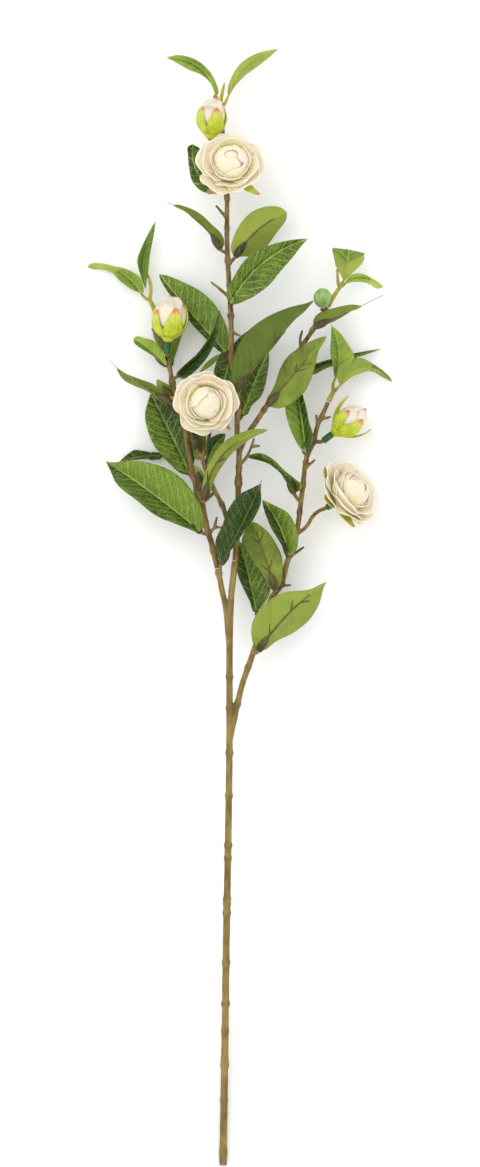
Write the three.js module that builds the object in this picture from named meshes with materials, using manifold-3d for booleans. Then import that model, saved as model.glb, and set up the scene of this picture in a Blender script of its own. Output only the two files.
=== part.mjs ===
// A camellia spray of moulded plastic and printed fabric, lying on its back.
//
// Units are millimetres. The spray lies along +Y from its cut end to its tip sprig, and +Z is up.
// The layout below is written from the middle of the cut end. The finished group is then moved so
// that the middle of its bounding box's bottom is the origin.
import * as THREE from 'three';
import { mergeVertices } from 'three/addons/utils/BufferGeometryUtils.js';
import Module from 'manifold-3d';

const wasm = await Module();
wasm.setup();

const GAP = 0.3; // between pieces that are pushed together

const STEM_BORE = 1.3;
const STEM_WIRE_LENGTH = 330;
const TWIG = 1.4; // radius of the twigs that carry leaves
const TWIG_FLARE = 0.3; // how much thicker they leave their branch

const LEAF_THICKNESS = 0.8;
const LEAF_RIB = 1.5; // height of the moulded rib on a leaf's back
const SOCKET_LENGTH = 15;
const SOCKET_RADIUS = 3.3;
const SOCKET_MOUTH = 2.7; // its radius where the twig goes in
const SOCKET_DEPTH = 4; // how far a twig goes into its socket
const SOCKET_RISE = 2.7; // from the blade to the middle of the socket's mouth
const ELBOW = 1; // how far before the mouth the twig bends

const PETAL_THICKNESS = 0.8;
const SEPAL_THICKNESS = 0.9;
const CALYX_LENGTH = 5;
const CALYX_BORE_DEPTH = 3;
const STALK = 1.6;
const SLEEVE_RADIUS = 2.7;
const SLEEVE_LENGTH = 9;

const COLORS = {
  stem: '#96875a',
  wire: '#8f9194',
  branch: '#7d5f34',
  leaf: '#557c33',
  youngLeaf: '#9bb451',
  petal: '#ebe4d2',
  sepal: '#b9cd2d',
  sleeve: '#3c6e3c',
  bud: '#7ca03c',
};

// ---------------------------------------------------------------- solids

const UP = new THREE.Vector3(0, 0, 1);
const vector = (p) => new THREE.Vector3(...p);
const radians = THREE.MathUtils.degToRad;
const lerp = THREE.MathUtils.lerp;

/** A closed geometry as a solid, with its vertices shared and its faces pointing out. */
function solid(source) {
  const geometry = source.clone();
  geometry.deleteAttribute('normal');
  geometry.deleteAttribute('uv');
  const shared = mergeVertices(geometry, 1e-4);
  const position = shared.getAttribute('position');
  const triangles = [];
  const [a, b, c] = [0, 1, 2].map(() => new THREE.Vector3());
  let volume = 0;
  for (let i = 0; i < shared.index.count; i += 3) {
    const corners = [0, 1, 2].map((k) => shared.index.getX(i + k));
    if (new Set(corners).size < 3) continue;
    triangles.push(...corners);
    a.fromBufferAttribute(position, corners[0]);
    b.fromBufferAttribute(position, corners[1]);
    c.fromBufferAttribute(position, corners[2]);
    volume += a.dot(b.cross(c));
  }
  if (volume < 0) triangles.reverse();
  return new wasm.Manifold(new wasm.Mesh({
    numProp: 3,
    vertProperties: new Float32Array(position.array),
    triVerts: new Uint32Array(triangles),
  }));
}

const fuse = (solids) => wasm.Manifold.union(solids);

/** The biggest piece of a solid, without the scraps that a cut leaves. */
function largest(body) {
  return body.decompose().reduce((best, piece) => (piece.volume() > best.volume() ? piece : best));
}

/** A solid cut off flat at the height of the table that the spray lies on. */
function rested(body) {
  const table = new THREE.BoxGeometry(400, 1000, 50).translate(0, 450, -25);
  return body.subtract(solid(table));
}

/** A solid as a flat-shaded mesh. */
function mesh(name, body, color, roughness = 0.7, metalness = 0) {
  const { vertProperties, triVerts } = body.getMesh();
  const geometry = new THREE.BufferGeometry();
  geometry.setAttribute('position', new THREE.BufferAttribute(new Float32Array(vertProperties), 3));
  geometry.setIndex(new THREE.BufferAttribute(new Uint32Array(triVerts), 1));
  geometry.computeVertexNormals();
  const material = new THREE.MeshStandardMaterial({ color, roughness, metalness });
  const result = new THREE.Mesh(geometry, material);
  result.name = name;
  return result;
}

/** A round rod through points, with its radius at each of them. */
function rod(points, radii, sides) {
  const positions = [];
  const index = [];
  const across = new THREE.Vector3();
  let last = null;
  points.forEach((centre, row) => {
    const [before, after] = [points[Math.max(row - 1, 0)], points[Math.min(row + 1, points.length - 1)]];
    const tangent = after.clone().sub(centre).normalize().add(centre.clone().sub(before).normalize()).normalize();
    if (last) across.applyQuaternion(new THREE.Quaternion().setFromUnitVectors(last, tangent));
    else across.crossVectors(tangent, Math.abs(tangent.z) > 0.9 ? new THREE.Vector3(1, 0, 0) : UP);
    across.addScaledVector(tangent, -across.dot(tangent)).normalize();
    last = tangent;
    for (let side = 0; side < sides; side += 1) {
      const spoke = across.clone().applyAxisAngle(tangent, (side / sides) * 2 * Math.PI);
      positions.push(...centre.clone().addScaledVector(spoke, radii[row]).toArray());
      if (row === 0) continue;
      const here = row * sides + side;
      const next = row * sides + ((side + 1) % sides);
      index.push(here, here - sides, next, next, here - sides, next - sides);
    }
  });
  const top = (points.length - 1) * sides;
  for (let side = 1; side < sides - 1; side += 1) {
    index.push(0, side + 1, side);
    index.push(top, top + side, top + side + 1);
  }
  const geometry = new THREE.BufferGeometry();
  geometry.setAttribute('position', new THREE.Float32BufferAttribute(positions, 3));
  geometry.setIndex(index);
  return solid(geometry);
}

/** A round bar along a smooth curve, with stations of [share of its length, radius]. */
function bar(points, stations, sides) {
  const curve = new THREE.CatmullRomCurve3(points.map(vector), false, 'centripetal');
  return rod(stations.map(([share]) => curve.getPointAt(share)), stations.map(([, radius]) => radius), sides);
}

/** A bar that tapers evenly, with rings of [share, width, extra radius] around it. */
function tapered(points, start, end, { sides = 6, steps = 3, rings = [] } = {}) {
  const radius = (share) => lerp(start, end, share);
  const stations = [];
  for (let i = 0; i <= steps; i += 1) stations.push([i / steps, radius(i / steps)]);
  for (const [share, width, extra] of rings) {
    stations.push([share - width, radius(share)]);
    stations.push([share, radius(share) + extra]);
    stations.push([share + width, radius(share)]);
  }
  stations.sort((one, other) => one[0] - other[0]);
  return bar(points, stations, sides);
}

/** A slab between two grids of points, triangulated alike on both faces. */
function slab(front, back) {
  const rows = front.length;
  const columns = front[0].length;
  const points = [...front.flat(), ...back.flat()];
  const index = [];
  const at = (face, row, column) => face * rows * columns + row * columns + column;
  for (let row = 0; row < rows - 1; row += 1) {
    for (let column = 0; column < columns - 1; column += 1) {
      for (const face of [0, 1]) {
        const [p, q] = [at(face, row, column), at(face, row, column + 1)];
        const [r, s] = [at(face, row + 1, column + 1), at(face, row + 1, column)];
        if (face === 0) index.push(p, q, r, p, r, s);
        else index.push(p, r, q, p, s, r);
      }
    }
  }
  const rim = [];
  for (let column = 0; column < columns - 1; column += 1) rim.push([0, column]);
  for (let row = 0; row < rows - 1; row += 1) rim.push([row, columns - 1]);
  for (let column = columns - 1; column > 0; column -= 1) rim.push([rows - 1, column]);
  for (let row = rows - 1; row > 0; row -= 1) rim.push([row, 0]);
  rim.forEach((here, i) => {
    const next = rim[(i + 1) % rim.length];
    index.push(at(0, ...here), at(1, ...here), at(0, ...next));
    index.push(at(0, ...next), at(1, ...here), at(1, ...next));
  });
  const geometry = new THREE.BufferGeometry();
  geometry.setAttribute('position', new THREE.Float32BufferAttribute(points.flatMap((p) => p.toArray()), 3));
  geometry.setIndex(index);
  return solid(geometry);
}

/** A lathe turned about +Z from a profile of [radius, height]. */
function turned(profile, sides) {
  const points = profile.map(([radius, height]) => new THREE.Vector2(radius, height));
  return solid(new THREE.LatheGeometry(points, sides).rotateX(Math.PI / 2));
}

/** Moves a solid that was made along +Z to a place, pointing along a direction. */
function placed(body, place, direction, spin = 0) {
  const turn = new THREE.Quaternion().setFromUnitVectors(UP, direction.clone().normalize());
  turn.multiply(new THREE.Quaternion().setFromAxisAngle(UP, radians(spin)));
  const matrix = new THREE.Matrix4().compose(place, turn, new THREE.Vector3(1, 1, 1));
  return body.transform(matrix.toArray());
}

// ---------------------------------------------------------------- leaves

const RIBBED_COLUMNS = [-1, -0.12, 0, 0.12, 1];
const PLAIN_COLUMNS = [-1, 0, 1]; // leaves that lie on their rib
const EDGE_WAVE = 0.7; // how far a leaf's edge waves up and down
const WAVE_STEP = 2.4; // how far the wave moves on from row to row, in radians
const LEAF_ROW = 17; // length of blade between two rows of corners
const ROW_CROWDING = 0.6; // how much the rows crowd towards both ends of a blade
const TIP_SHARE = 0.995; // where a blade ends on its outline
const NARROWEST = 0.6; // half the width of a blade where it is narrowest
const RIB_END = 0.02; // height that is left of the rib at the tip
const STEEPEST = 1.8; // most that a fold thickens the middle of a blade
const BLADE_START = 0.015; // share of the midrib before a leaf's blade starts

/** Share of its full width that a leaf has at a share of its length: round base, drawn-out tip. */
function leafOutline(share, widest, tipPower) {
  const basePower = (tipPower * widest) / (1 - widest);
  const shape = (s) => s ** basePower * (1 - s) ** tipPower;
  return shape(share) / shape(widest);
}

/** The curve of a leaf's midrib, from its base to its tip. */
function midrib({ base, tip, bow = 0, arch = 0 }) {
  const [start, end] = [vector(base), vector(tip)];
  const left = new THREE.Vector3().crossVectors(UP, end.clone().sub(start)).normalize();
  const middle = start.clone().add(end).multiplyScalar(0.5);
  middle.addScaledVector(left, 2 * bow).addScaledVector(UP, 2 * arch);
  return new THREE.QuadraticBezierCurve3(start, middle, end);
}

/**
 * A leaf's blade with its back rib. half is half its width. roll lifts its left edge, in degrees
 * at the base and at the tip, and fold lifts both halves. An under leaf has its back on top.
 */
function blade(leaf, from, thickness, rib) {
  const { half, roll = [0, 0], fold = 0, under = false, widest = 0.42, blunt = 0.85 } = leaf;
  const curve = midrib(leaf);
  const columns = under ? RIBBED_COLUMNS : PLAIN_COLUMNS;
  const rows = THREE.MathUtils.clamp(Math.round(curve.getLength() / LEAF_ROW), 3, 6);
  const front = [];
  const back = [];
  for (let row = 0; row <= rows; row += 1) {
    const even = row / rows;
    const share = lerp(from, 1, lerp(even, (1 - Math.cos(even * Math.PI)) / 2, ROW_CROWDING));
    const centre = curve.getPointAt(share);
    const tangent = curve.getTangentAt(share);
    const left = new THREE.Vector3().crossVectors(UP, tangent).normalize();
    const normal = new THREE.Vector3().crossVectors(tangent, left);
    const outline = leafOutline(Math.min(share, TIP_SHARE), widest, blunt);
    const reach = Math.max(half * outline, NARROWEST);
    const lift = fold * (under ? -1 : 1) * Math.min(1, 1.6 * outline);
    const lean = lerp(roll[0], roll[1], share);
    const ridge = rib * (1 - share) ** 0.6 + RIB_END;
    front.push([]);
    back.push([]);
    for (const column of columns) {
      const side = Math.sign(column);
      const angle = radians(side < 0 ? lift - lean : lift + lean);
      const outward = left.clone().multiplyScalar(side * Math.cos(angle));
      outward.addScaledVector(normal, Math.sin(angle));
      const face = normal.clone().multiplyScalar(Math.cos(angle));
      face.addScaledVector(left, -side * Math.sin(angle));
      if (side === 0) {
        face.copy(normal).applyAxisAngle(tangent, -radians(lean));
        face.multiplyScalar(Math.min(STEEPEST, 1 / Math.cos(radians(lift))));
      }
      const point = centre.clone();
      if (side !== 0) point.addScaledVector(outward, Math.abs(column) * reach);
      const ripple = EDGE_WAVE * Math.sin(row * WAVE_STEP + side) * outline;
      if (Math.abs(column) === 1) point.addScaledVector(face, ripple);
      const over = thickness / 2 + (side === 0 && under ? ridge : 0);
      front[row].push(point.clone().addScaledVector(face, over));
      back[row].push(point.clone().addScaledVector(face, -thickness / 2));
    }
  }
  return slab(front, back);
}

const SOCKET = [[0, 0], [SOCKET_MOUTH, 0], [SOCKET_RADIUS, 0.45 * SOCKET_LENGTH], [0, SOCKET_LENGTH]];

/** The mouth of a leaf's socket and the way it points, on the back of the blade. */
function socket(leaf) {
  const curve = midrib(leaf);
  const back = leaf.under ? 1 : -1;
  const mouth = vector(leaf.base).addScaledVector(UP, back * SOCKET_RISE);
  const end = curve.getPointAt(SOCKET_LENGTH / curve.getLength()).addScaledVector(UP, back);
  return { mouth, axis: end.sub(mouth).normalize() };
}

/** The twig that carries a leaf, from its branch into the leaf's socket, or the room that it needs. */
function twig(leaf, clearance = 0) {
  const { mouth, axis } = socket(leaf);
  const elbow = mouth.clone().addScaledVector(axis, -ELBOW);
  const end = mouth.clone().addScaledVector(axis, SOCKET_DEPTH + clearance);
  const radius = TWIG + clearance;
  return rod([vector(leaf.from), elbow, end], [radius + TWIG_FLARE, radius, radius], 4);
}

/** A grown leaf: blade, back rib and socket in one piece, with the hole for its twig. */
function grownLeaf(leaf) {
  const { mouth, axis } = socket(leaf);
  const grown = blade(leaf, BLADE_START, LEAF_THICKNESS, LEAF_RIB).add(placed(turned(SOCKET, 5), mouth, axis));
  return largest(grown.subtract(twig(leaf, GAP)));
}

// Each leaf is named for the branch that carries it. "from" is where its twig leaves the branch.
const LEAVES = [
  // centre branch, from its top down
  { name: 'leaf_center_1', branch: 'center', from: [0, 776, 36], base: [-4, 776, 30], tip: [-28, 817, 25],
    bow: 4, half: 9, fold: 10, widest: 0.55, blunt: 0.6 },
  { name: 'leaf_center_2', branch: 'center', from: [1.6, 728, 37], base: [-2.4, 731, 41], tip: [-42.4, 767, 32],
    half: 10, roll: [-28, -28], fold: 62, under: true },
  { name: 'leaf_center_3', branch: 'center', from: [1.6, 718, 37], base: [8, 726.4, 40], tip: [48, 763.2, 34],
    bow: 2, half: 18, roll: [17, 17], fold: 30, under: true, widest: 0.45, blunt: 0.6 },
  { name: 'leaf_center_4', branch: 'center', from: [4, 674, 38], base: [4, 689, 45], tip: [65.2, 740, 32],
    bow: 8, half: 15.5, roll: [17, 17], fold: 30 },
  { name: 'leaf_center_5', branch: 'center', from: [4, 640, 38], base: [0, 650, 31], tip: [-52.8, 712, 12],
    bow: -2, half: 17, roll: [-30, -30], fold: -20 },
  { name: 'leaf_center_6', branch: 'center', from: [9.6, 606, 39], base: [10.4, 616, 46], tip: [68.8, 690.4, 50],
    bow: 4, arch: 4, half: 23, roll: [38, 38], fold: 45, under: true, widest: 0.42 },
  { name: 'leaf_center_7', branch: 'center', from: [5, 642, 37], base: [8, 647, 33], tip: [36, 678, 26],
    half: 11, fold: 15 },
  { name: 'leaf_center_8', branch: 'center', from: [5, 658, 37.8], base: [6, 649, 22.5], tip: [-12, 606, 14],
    bow: -2, half: 15, roll: [10, 10], fold: 15 },
  { name: 'leaf_center_9', branch: 'center', from: [9, 594, 38], base: [12, 600, 33], tip: [33.6, 656, 22],
    bow: -1, half: 15, roll: [22, 22], fold: -22 },
  { name: 'leaf_center_10', branch: 'stem', from: [-4, 466, 35], base: [-4.8, 481.6, 44], tip: [28.8, 546.4, 54],
    half: 17, roll: [-15, -15], fold: 38 },
  // upper right twig of the centre branch
  { name: 'leaf_upper_1', branch: 'center', from: [29, 602, 36], base: [32, 608, 43], tip: [80, 662.4, 42],
    arch: 3, half: 15.5, roll: [-8, -8], fold: 36, under: true, widest: 0.5 },
  { name: 'leaf_upper_2', branch: 'center', from: [65, 660, 26], base: [69.6, 667.2, 36], tip: [110.4, 688, 34],
    bow: 1, half: 11, roll: [24, 24], fold: 62, under: true },
  { name: 'leaf_upper_3', branch: 'center', from: [50, 636, 28], base: [59, 634.4, 15], tip: [124, 652.8, 4],
    half: 6, roll: [-5, -5], fold: 55 },
  // left branch, from its top down
  { name: 'leaf_left_1', branch: 'left', from: [-46, 640, 18], base: [-50, 643, 22], tip: [-73.6, 664, 20],
    half: 7, fold: 20 },
  { name: 'leaf_left_2', branch: 'left', from: [-42, 622, 20], base: [-41.6, 629.6, 10], tip: [-46, 692, 3],
    half: 15, fold: 12, widest: 0.62 },
  { name: 'leaf_left_3', branch: 'left', from: [-38, 610, 22], base: [-44, 607, 27], tip: [-92.8, 644, 22],
    bow: 1, half: 8, roll: [5, 5], fold: 55, under: true },
  { name: 'leaf_left_4', branch: 'left', from: [-36, 602, 23], base: [-40.8, 606, 17], tip: [-55.2, 630, 15],
    half: 8, fold: 10, under: true },
  { name: 'leaf_left_5', branch: 'left', from: [-43, 628, 20], base: [-38.4, 629.6, 27], tip: [-4.8, 684, 40],
    bow: -9, half: 12, fold: 60 },
  { name: 'leaf_left_6', branch: 'left', from: [-24, 544, 27.5], base: [-28.8, 552, 21], tip: [-60.8, 618.4, 10],
    bow: 2, half: 18, roll: [12, 12], fold: 16 },
  { name: 'leaf_left_7', branch: 'left', from: [-22, 538, 28], base: [-50, 567, 8], tip: [-84.8, 561.6, 3],
    half: 11, fold: 20 },
  { name: 'leaf_left_8', branch: 'left', from: [-14, 504, 32], base: [-20, 505.6, 34], tip: [-96, 562.8, 18],
    bow: -2, half: 22, roll: [22, 22], fold: 32, widest: 0.45 },
  // twig of the second bloom
  { name: 'leaf_twig_1', branch: 'center', from: [-20, 567, 40], base: [-22, 573, 36], tip: [-33, 610, 30],
    half: 9, fold: 5, under: true },
  { name: 'leaf_twig_2', branch: 'center', from: [-16, 553, 40], base: [-12.5, 558, 41], tip: [-0.8, 584.8, 40],
    half: 9, fold: 40 },
  { name: 'leaf_twig_3', branch: 'center', from: [-9, 538, 40], base: [-17, 530, 50], tip: [32.8, 587.2, 54],
    bow: 11, arch: 3, half: 9, fold: 50, under: true },
  { name: 'leaf_twig_4', branch: 'center', from: [-12, 544, 40], base: [-15, 545, 33], tip: [-24, 570, 28],
    half: 7, fold: 10, under: true },
  // right branch, from its top down
  { name: 'leaf_right_1', branch: 'right', from: [62, 556, 24], base: [64.8, 568, 32], tip: [53.6, 632, 22],
    half: 14, roll: [-15, -15], fold: 42 },
  { name: 'leaf_right_2', branch: 'right', from: [59, 530, 25], base: [56, 539, 28], tip: [16, 566.4, 24],
    bow: -2, half: 8.5, roll: [12, 12], fold: 58 },
  { name: 'leaf_right_3', branch: 'right', from: [48, 478, 27], base: [50.4, 487.2, 35], tip: [28, 532, 33],
    bow: -5, half: 14, roll: [11, 11], fold: 48 },
  { name: 'leaf_right_4', branch: 'right', from: [42, 461, 28.4], base: [39.2, 463, 33], tip: [22.4, 514.4, 36],
    arch: 3, half: 17, fold: 22, under: true },
  { name: 'leaf_right_5', branch: 'stem', from: [25.6, 424, 30.5], base: [24.8, 440, 25], tip: [10.4, 500, 16],
    half: 12, fold: 25 },
  { name: 'leaf_right_6', branch: 'stem', from: [21, 409, 31], base: [25.6, 411.2, 41], tip: [80, 467.2, 38],
    bow: 4, arch: 2, half: 22, roll: [22, 22], fold: 30, under: true },
];

// ---------------------------------------------------------------- stem and branches

const STEM = [[-2.4, 0, 2.5], [-1, 90, 9.8], [0.4, 190, 17.9], [1.6, 252, 22.6], [2.8, 340, 29.3],
  [2.8, 412, 34.7], [4, 452, 37], [5.6, 468, 38], [7.2, 483, 38.5]];
const LEFT_FORK = [[2.8, 412, 34.7], [0, 444, 35], [-3.2, 460, 35], [-6.4, 477, 34.5]];
const RIGHT_FORK = [[3, 340, 29.3], [6.4, 356, 30.3], [12.8, 384, 31], [22.4, 412, 31], [28, 432, 30.5]];
const STEM_RINGS = [80, 130, 164, 204, 257, 331]; // from the cut end
const RING_WIDTH = 1.6;
const RING_HEIGHT = 0.7;

/** The khaki stem with its three forks. */
function stem() {
  const length = new THREE.CatmullRomCurve3(STEM.map(vector), false, 'centripetal').getLength();
  const rings = STEM_RINGS.map((place) => [place / length, RING_WIDTH / length, RING_HEIGHT]);
  return fuse([
    tapered(STEM, 3.1, 2.6, { steps: 7, rings }),
    tapered(LEFT_FORK, 2.4, 2.3, { steps: 3, rings: [[0.96, 0.02, 0.9]] }),
    tapered(RIGHT_FORK, 2.5, 2.4, { steps: 4, rings: [[0.3, 0.02, 0.8]] }),
    ...LEAVES.filter((leaf) => leaf.branch === 'stem').map((leaf) => twig(leaf)),
  ]);
}

/** The wire in the stem, or the hole that it lies in. */
function stemWire(clearance) {
  const points = STEM.slice(0, 6);
  const length = new THREE.CatmullRomCurve3(points.map(vector), false, 'centripetal').getLength();
  const share = (STEM_WIRE_LENGTH + clearance) / length;
  const stations = [];
  for (let i = 0; i <= 4; i += 1) stations.push([(i / 4) * share, STEM_BORE - GAP + clearance]);
  return bar(points, stations, 6);
}

const CENTER_BRANCH = [[7.3, 483.4, 38.6], [8.8, 508, 39], [9.6, 532, 40], [10, 548, 40], [10.4, 572, 40],
  [8.8, 585, 40], [9.6, 612, 39], [8, 630, 38], [4.8, 644, 38], [4, 676, 38], [3.2, 692, 37], [1.6, 720, 37],
  [0.8, 740, 37], [0.8, 781, 35], [-1, 806, 26], [-3, 830, 18], [-3, 846, 16]];
const BLOOM_TWIG = [[8, 494, 38.8], [0, 519, 40], [-3.2, 528, 40], [-10.4, 542, 40], [-16, 556, 40],
  [-20, 568, 40]];
const UPPER_TWIG = [[10.4, 570, 40], [16, 582, 39], [23.2, 593, 38], [34.4, 610, 33], [47.2, 632, 28],
  [60.8, 655, 25], [72, 671, 24], [80.8, 685.6, 23]];
const LEFT_BRANCH = [[-6.5, 477.5, 34.4], [-7.2, 480, 34.3], [-11.2, 496, 33], [-16, 512, 31], [-18.4, 526, 29.5],
  [-23.2, 540, 28], [-27.2, 556, 26], [-30.4, 572, 25], [-33.6, 596, 23.5], [-36, 604, 23], [-41.6, 620, 21],
  [-44.8, 636, 19], [-48, 652, 17], [-52.8, 668, 14], [-56, 681, 12]];
const RIGHT_BRANCH = [[28.2, 432.4, 30.4], [36.8, 454, 29], [44, 464, 28], [48.8, 482, 27], [52.8, 494, 26],
  [56.8, 508, 25.5], [60, 532, 24.5], [62.4, 552, 24], [64, 564, 23.5], [69.6, 578, 22], [72.8, 590, 21.5],
  [75.2, 596, 21], [81.6, 610, 20]];

// Short cut twigs with nothing on them, as chains of points.
const STUBS = {
  center: [
    [[-8, 766.4, 38], [0, 757, 37]],
    [[-12, 705.6, 40], [-4, 699, 38], [2, 694, 37]],
    [[12.8, 661.6, 40], [4, 666, 38]],
    [[-4.8, 782, 37], [0.8, 773, 36]],
    [[10.4, 559, 40], [16.8, 566.4, 43], [20.8, 576, 45], [22.4, 581, 45]],
    [[20.4, 574, 44.6], [27.2, 575, 46]],
    [[60, 653, 25], [59.2, 660, 28], [60.8, 667.2, 29]],
  ],
  left: [
    [[-14, 504, 32], [-8.8, 509.6, 32], [-1.6, 509.6, 33]],
    [[-9.6, 508.6, 32], [-7.2, 518.4, 33]],
    [[-18.6, 526, 29.5], [-28, 531.2, 31]],
    [[-48, 652, 17], [-52.8, 660, 20], [-59.2, 668.8, 21]],
  ],
  right: [
    [[43, 463, 28], [52, 464, 29]],
    [[50.5, 486, 26.6], [62.4, 494.4, 27]],
    [[63, 557, 23.7], [71.2, 564, 25]],
    [[73, 590, 21.4], [72, 600, 23]],
    [[75.4, 596, 21], [84, 598.4, 22]],
  ],
};
const STUB = 1.2;

// ---------------------------------------------------------------- blooms and buds

/** Share of its full width that a petal has at a share of its length: broad, with a round rim. */
function petalOutline(share, shoulder = 0.6, foot = 0.28) {
  if (share < shoulder) return lerp(foot, 1, Math.sin((share / shoulder) * (Math.PI / 2)));
  return Math.sqrt(1 - 0.7 * ((share - shoulder) / (1 - shoulder)) ** 2);
}

/**
 * A petal or sepal about the Z axis, on a surface turned about that axis, so that those of one ring
 * lie over one another. rise is its slope in degrees at its root and at its rim.
 */
function petal({ turn, root, height, length, width, rise, thickness = PETAL_THICKNESS, rows = 3, columns = 3,
  outline = petalOutline }) {
  const front = [];
  const back = [];
  const start = radians(rise[0]);
  const bend = radians(rise[1] - rise[0]) / length;
  for (let row = 0; row <= rows; row += 1) {
    const share = row / rows;
    const slope = start + bend * length * share;
    const radius = root + (Math.sin(slope) - Math.sin(start)) / bend;
    const level = height + (Math.cos(start) - Math.cos(slope)) / bend;
    const face = new THREE.Vector3(-Math.sin(slope), 0, Math.cos(slope)).multiplyScalar(thickness / 2);
    front.push([]);
    back.push([]);
    for (let column = 0; column <= columns; column += 1) {
      const across = ((column / columns - 0.5) * width * outline(share)) / Math.max(radius, 2);
      const centre = new THREE.Vector3(radius, 0, level);
      front[row].push(centre.clone().add(face).applyAxisAngle(UP, radians(turn) + across));
      back[row].push(centre.clone().sub(face).applyAxisAngle(UP, radians(turn) + across));
    }
  }
  return slab(front, back);
}

/** count petals evenly round the axis, every other one a little further in. */
function ring(count, start, inset, spec) {
  return Array.from({ length: count }, (_, i) => petal({
    ...spec,
    turn: start + (i * 360) / count,
    root: spec.root - (i % 2) * inset,
    height: spec.height + (i % 2) * inset,
  }));
}

/** The petals of an open bloom, in layers on their core, with its base at the origin. */
function bloomPetals(size) {
  const core = turned([[0, 0], [6.4, 0], [8.4, 3], [8.2, 11], [6, 16.5], [0, 19.5]], 6);
  const layers = [
    ...ring(6, 0, 1.8, { root: 5.2, height: 1.4, length: 23.5, width: 25, rise: [12, 54] }),
    ...ring(6, 30, 1.5, { root: 6.4, height: 6.4, length: 16, width: 16, rise: [40, 74], columns: 2 }),
    ...ring(3, 10, 1.5, { root: 6.6, height: 11.4, length: 10.5, width: 13, rise: [66, 98], rows: 2, columns: 2 }),
  ];
  return fuse([core, ...layers]).scale(size);
}

const BUD_RISE = 46; // slope of a bud's side at its base, in degrees
const BUD_BEND = 3.1; // how much it turns in with each millimetre, in degrees
const BUD_ROOT = 4.6;

/** The petals of a closed bud, wrapped over one another. */
function budPetals(size) {
  const core = turned([[0, 0], [5.2, 0], [6.4, 4], [6.4, 10], [4.8, 16], [0, 21]], 6);
  const length = 23;
  const wraps = ring(4, 0, 1.5, { root: BUD_ROOT, height: 1.4, length, width: 16,
    rise: [BUD_RISE, BUD_RISE + BUD_BEND * length] });
  return fuse([core, ...wraps]).scale(size);
}

/** Share of its full width that a sepal has at a share of its length: pointed. */
const sepalOutline = (share) => (share < 0.35 ? lerp(0.5, 1, share / 0.35) : (1 - (share - 0.35) / 0.66) ** 0.8);

/** A calyx just under the origin: a bored cup with its sepals, for petals of a size. */
function calyx(sepals, size) {
  const foot = -GAP - CALYX_LENGTH;
  const bore = STALK + GAP;
  const top = 6.6 * size;
  const cup = turned([[0, foot + CALYX_BORE_DEPTH], [bore, foot + CALYX_BORE_DEPTH], [bore, foot],
    [bore + 0.9, foot], [top, -1.2], [top, -GAP], [0, -GAP]], 6);
  const blades = sepals.map((sepal) => petal({ columns: 2, rows: 3, thickness: SEPAL_THICKNESS,
    outline: sepalOutline, ...sepal }));
  return fuse([cup, ...blades.map((blade) => blade.scale(size))]);
}

/** Sepals round an open bloom, under its outer petals. */
const bloomSepal = (length) => ({ root: 4.4, height: -0.9, length, width: 9, rise: [2, 2 + 1.5 * length] });

/** Sepals pressed to the side of a bud. */
const budSepal = (length) => ({ root: BUD_ROOT + 0.8, height: -0.9, length, width: 9.5,
  rise: [BUD_RISE - 8, BUD_RISE - 8 + (BUD_BEND + 0.35) * length] });

// "place" is the middle of a bloom's base and "facing" points out of it.
const BLOOMS = [
  { name: 'bloom_1', branch: 'center', place: [2.5, 797, 45], facing: [-0.03, 0.3, 0.95], spin: 12, size: 1.1,
    from: [0.8, 776, 35.5], sepals: [24, 17, 22, 17, 20] },
  { name: 'bloom_2', branch: 'center', place: [-16.5, 608, 45], facing: [0.03, 0.05, 1], spin: 40, size: 1.03,
    from: [-19, 564, 40], via: [[-13, 586, 38]], sepals: [21, 22, 20, 22, 20] },
  { name: 'bloom_3', branch: 'right', place: [92.5, 533, 22], facing: [0.66, 0.45, 0.6], spin: 20, size: 1.1,
    from: [56, 504, 25.7], via: [[64, 510.4, 24], [69.6, 519.2, 20], [75, 523.5, 13]], sleeve: true,
    sepals: [20, 22, 18, 20, 22] },
];
const BUDS = [
  { name: 'bud_1', branch: 'center', place: [-12, 827, 38], facing: [0.05, 1, 0.08], spin: 0, size: 1.1,
    from: [-0.2, 800, 28], sepals: [23, 18, 22, 18, 22] },
  { name: 'bud_2', branch: 'left', place: [-44, 665, 30], facing: [0.05, 1, 0.12], spin: 30, size: 1.3,
    from: [-46.4, 644, 18], via: [[-46, 648, 24]], sleeve: true, sepals: [20, 17, 22, 17, 20] },
  { name: 'bud_3', branch: 'right', place: [89.3, 587.8, 25], facing: [0.8, 0.6, 0.1], spin: 10, size: 1.1,
    from: [69.8, 578.6, 22], sleeve: true, sepals: [20, 17, 22, 18, 21] },
];

const SMALL_BUD = { place: [76.6, 685, 30], facing: [0.05, 1, 0.1], from: [79.5, 683.4, 23.4] };

/** The short stalk that the small bud sits on. */
function smallStalk() {
  const axis = vector(SMALL_BUD.facing).normalize();
  const at = (height) => vector(SMALL_BUD.place).addScaledVector(axis, height);
  return rod([vector(SMALL_BUD.from), at(-1.5), at(-GAP)], [STALK, STALK, STALK], 5);
}

/** The stalk of a bloom or bud, ending straight in its calyx. */
function stalk({ place, facing, from, via = [], sleeve: hasSleeve }) {
  const axis = vector(facing).normalize();
  const at = (height) => vector(place).addScaledVector(axis, height);
  const foot = -GAP - CALYX_LENGTH;
  const straight = foot - (hasSleeve ? SLEEVE_LENGTH : 0) - 1;
  const points = [vector(from), ...via.map(vector), at(straight), at(foot + CALYX_BORE_DEPTH - GAP)];
  return rod(points, points.map(() => STALK), 5);
}

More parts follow.
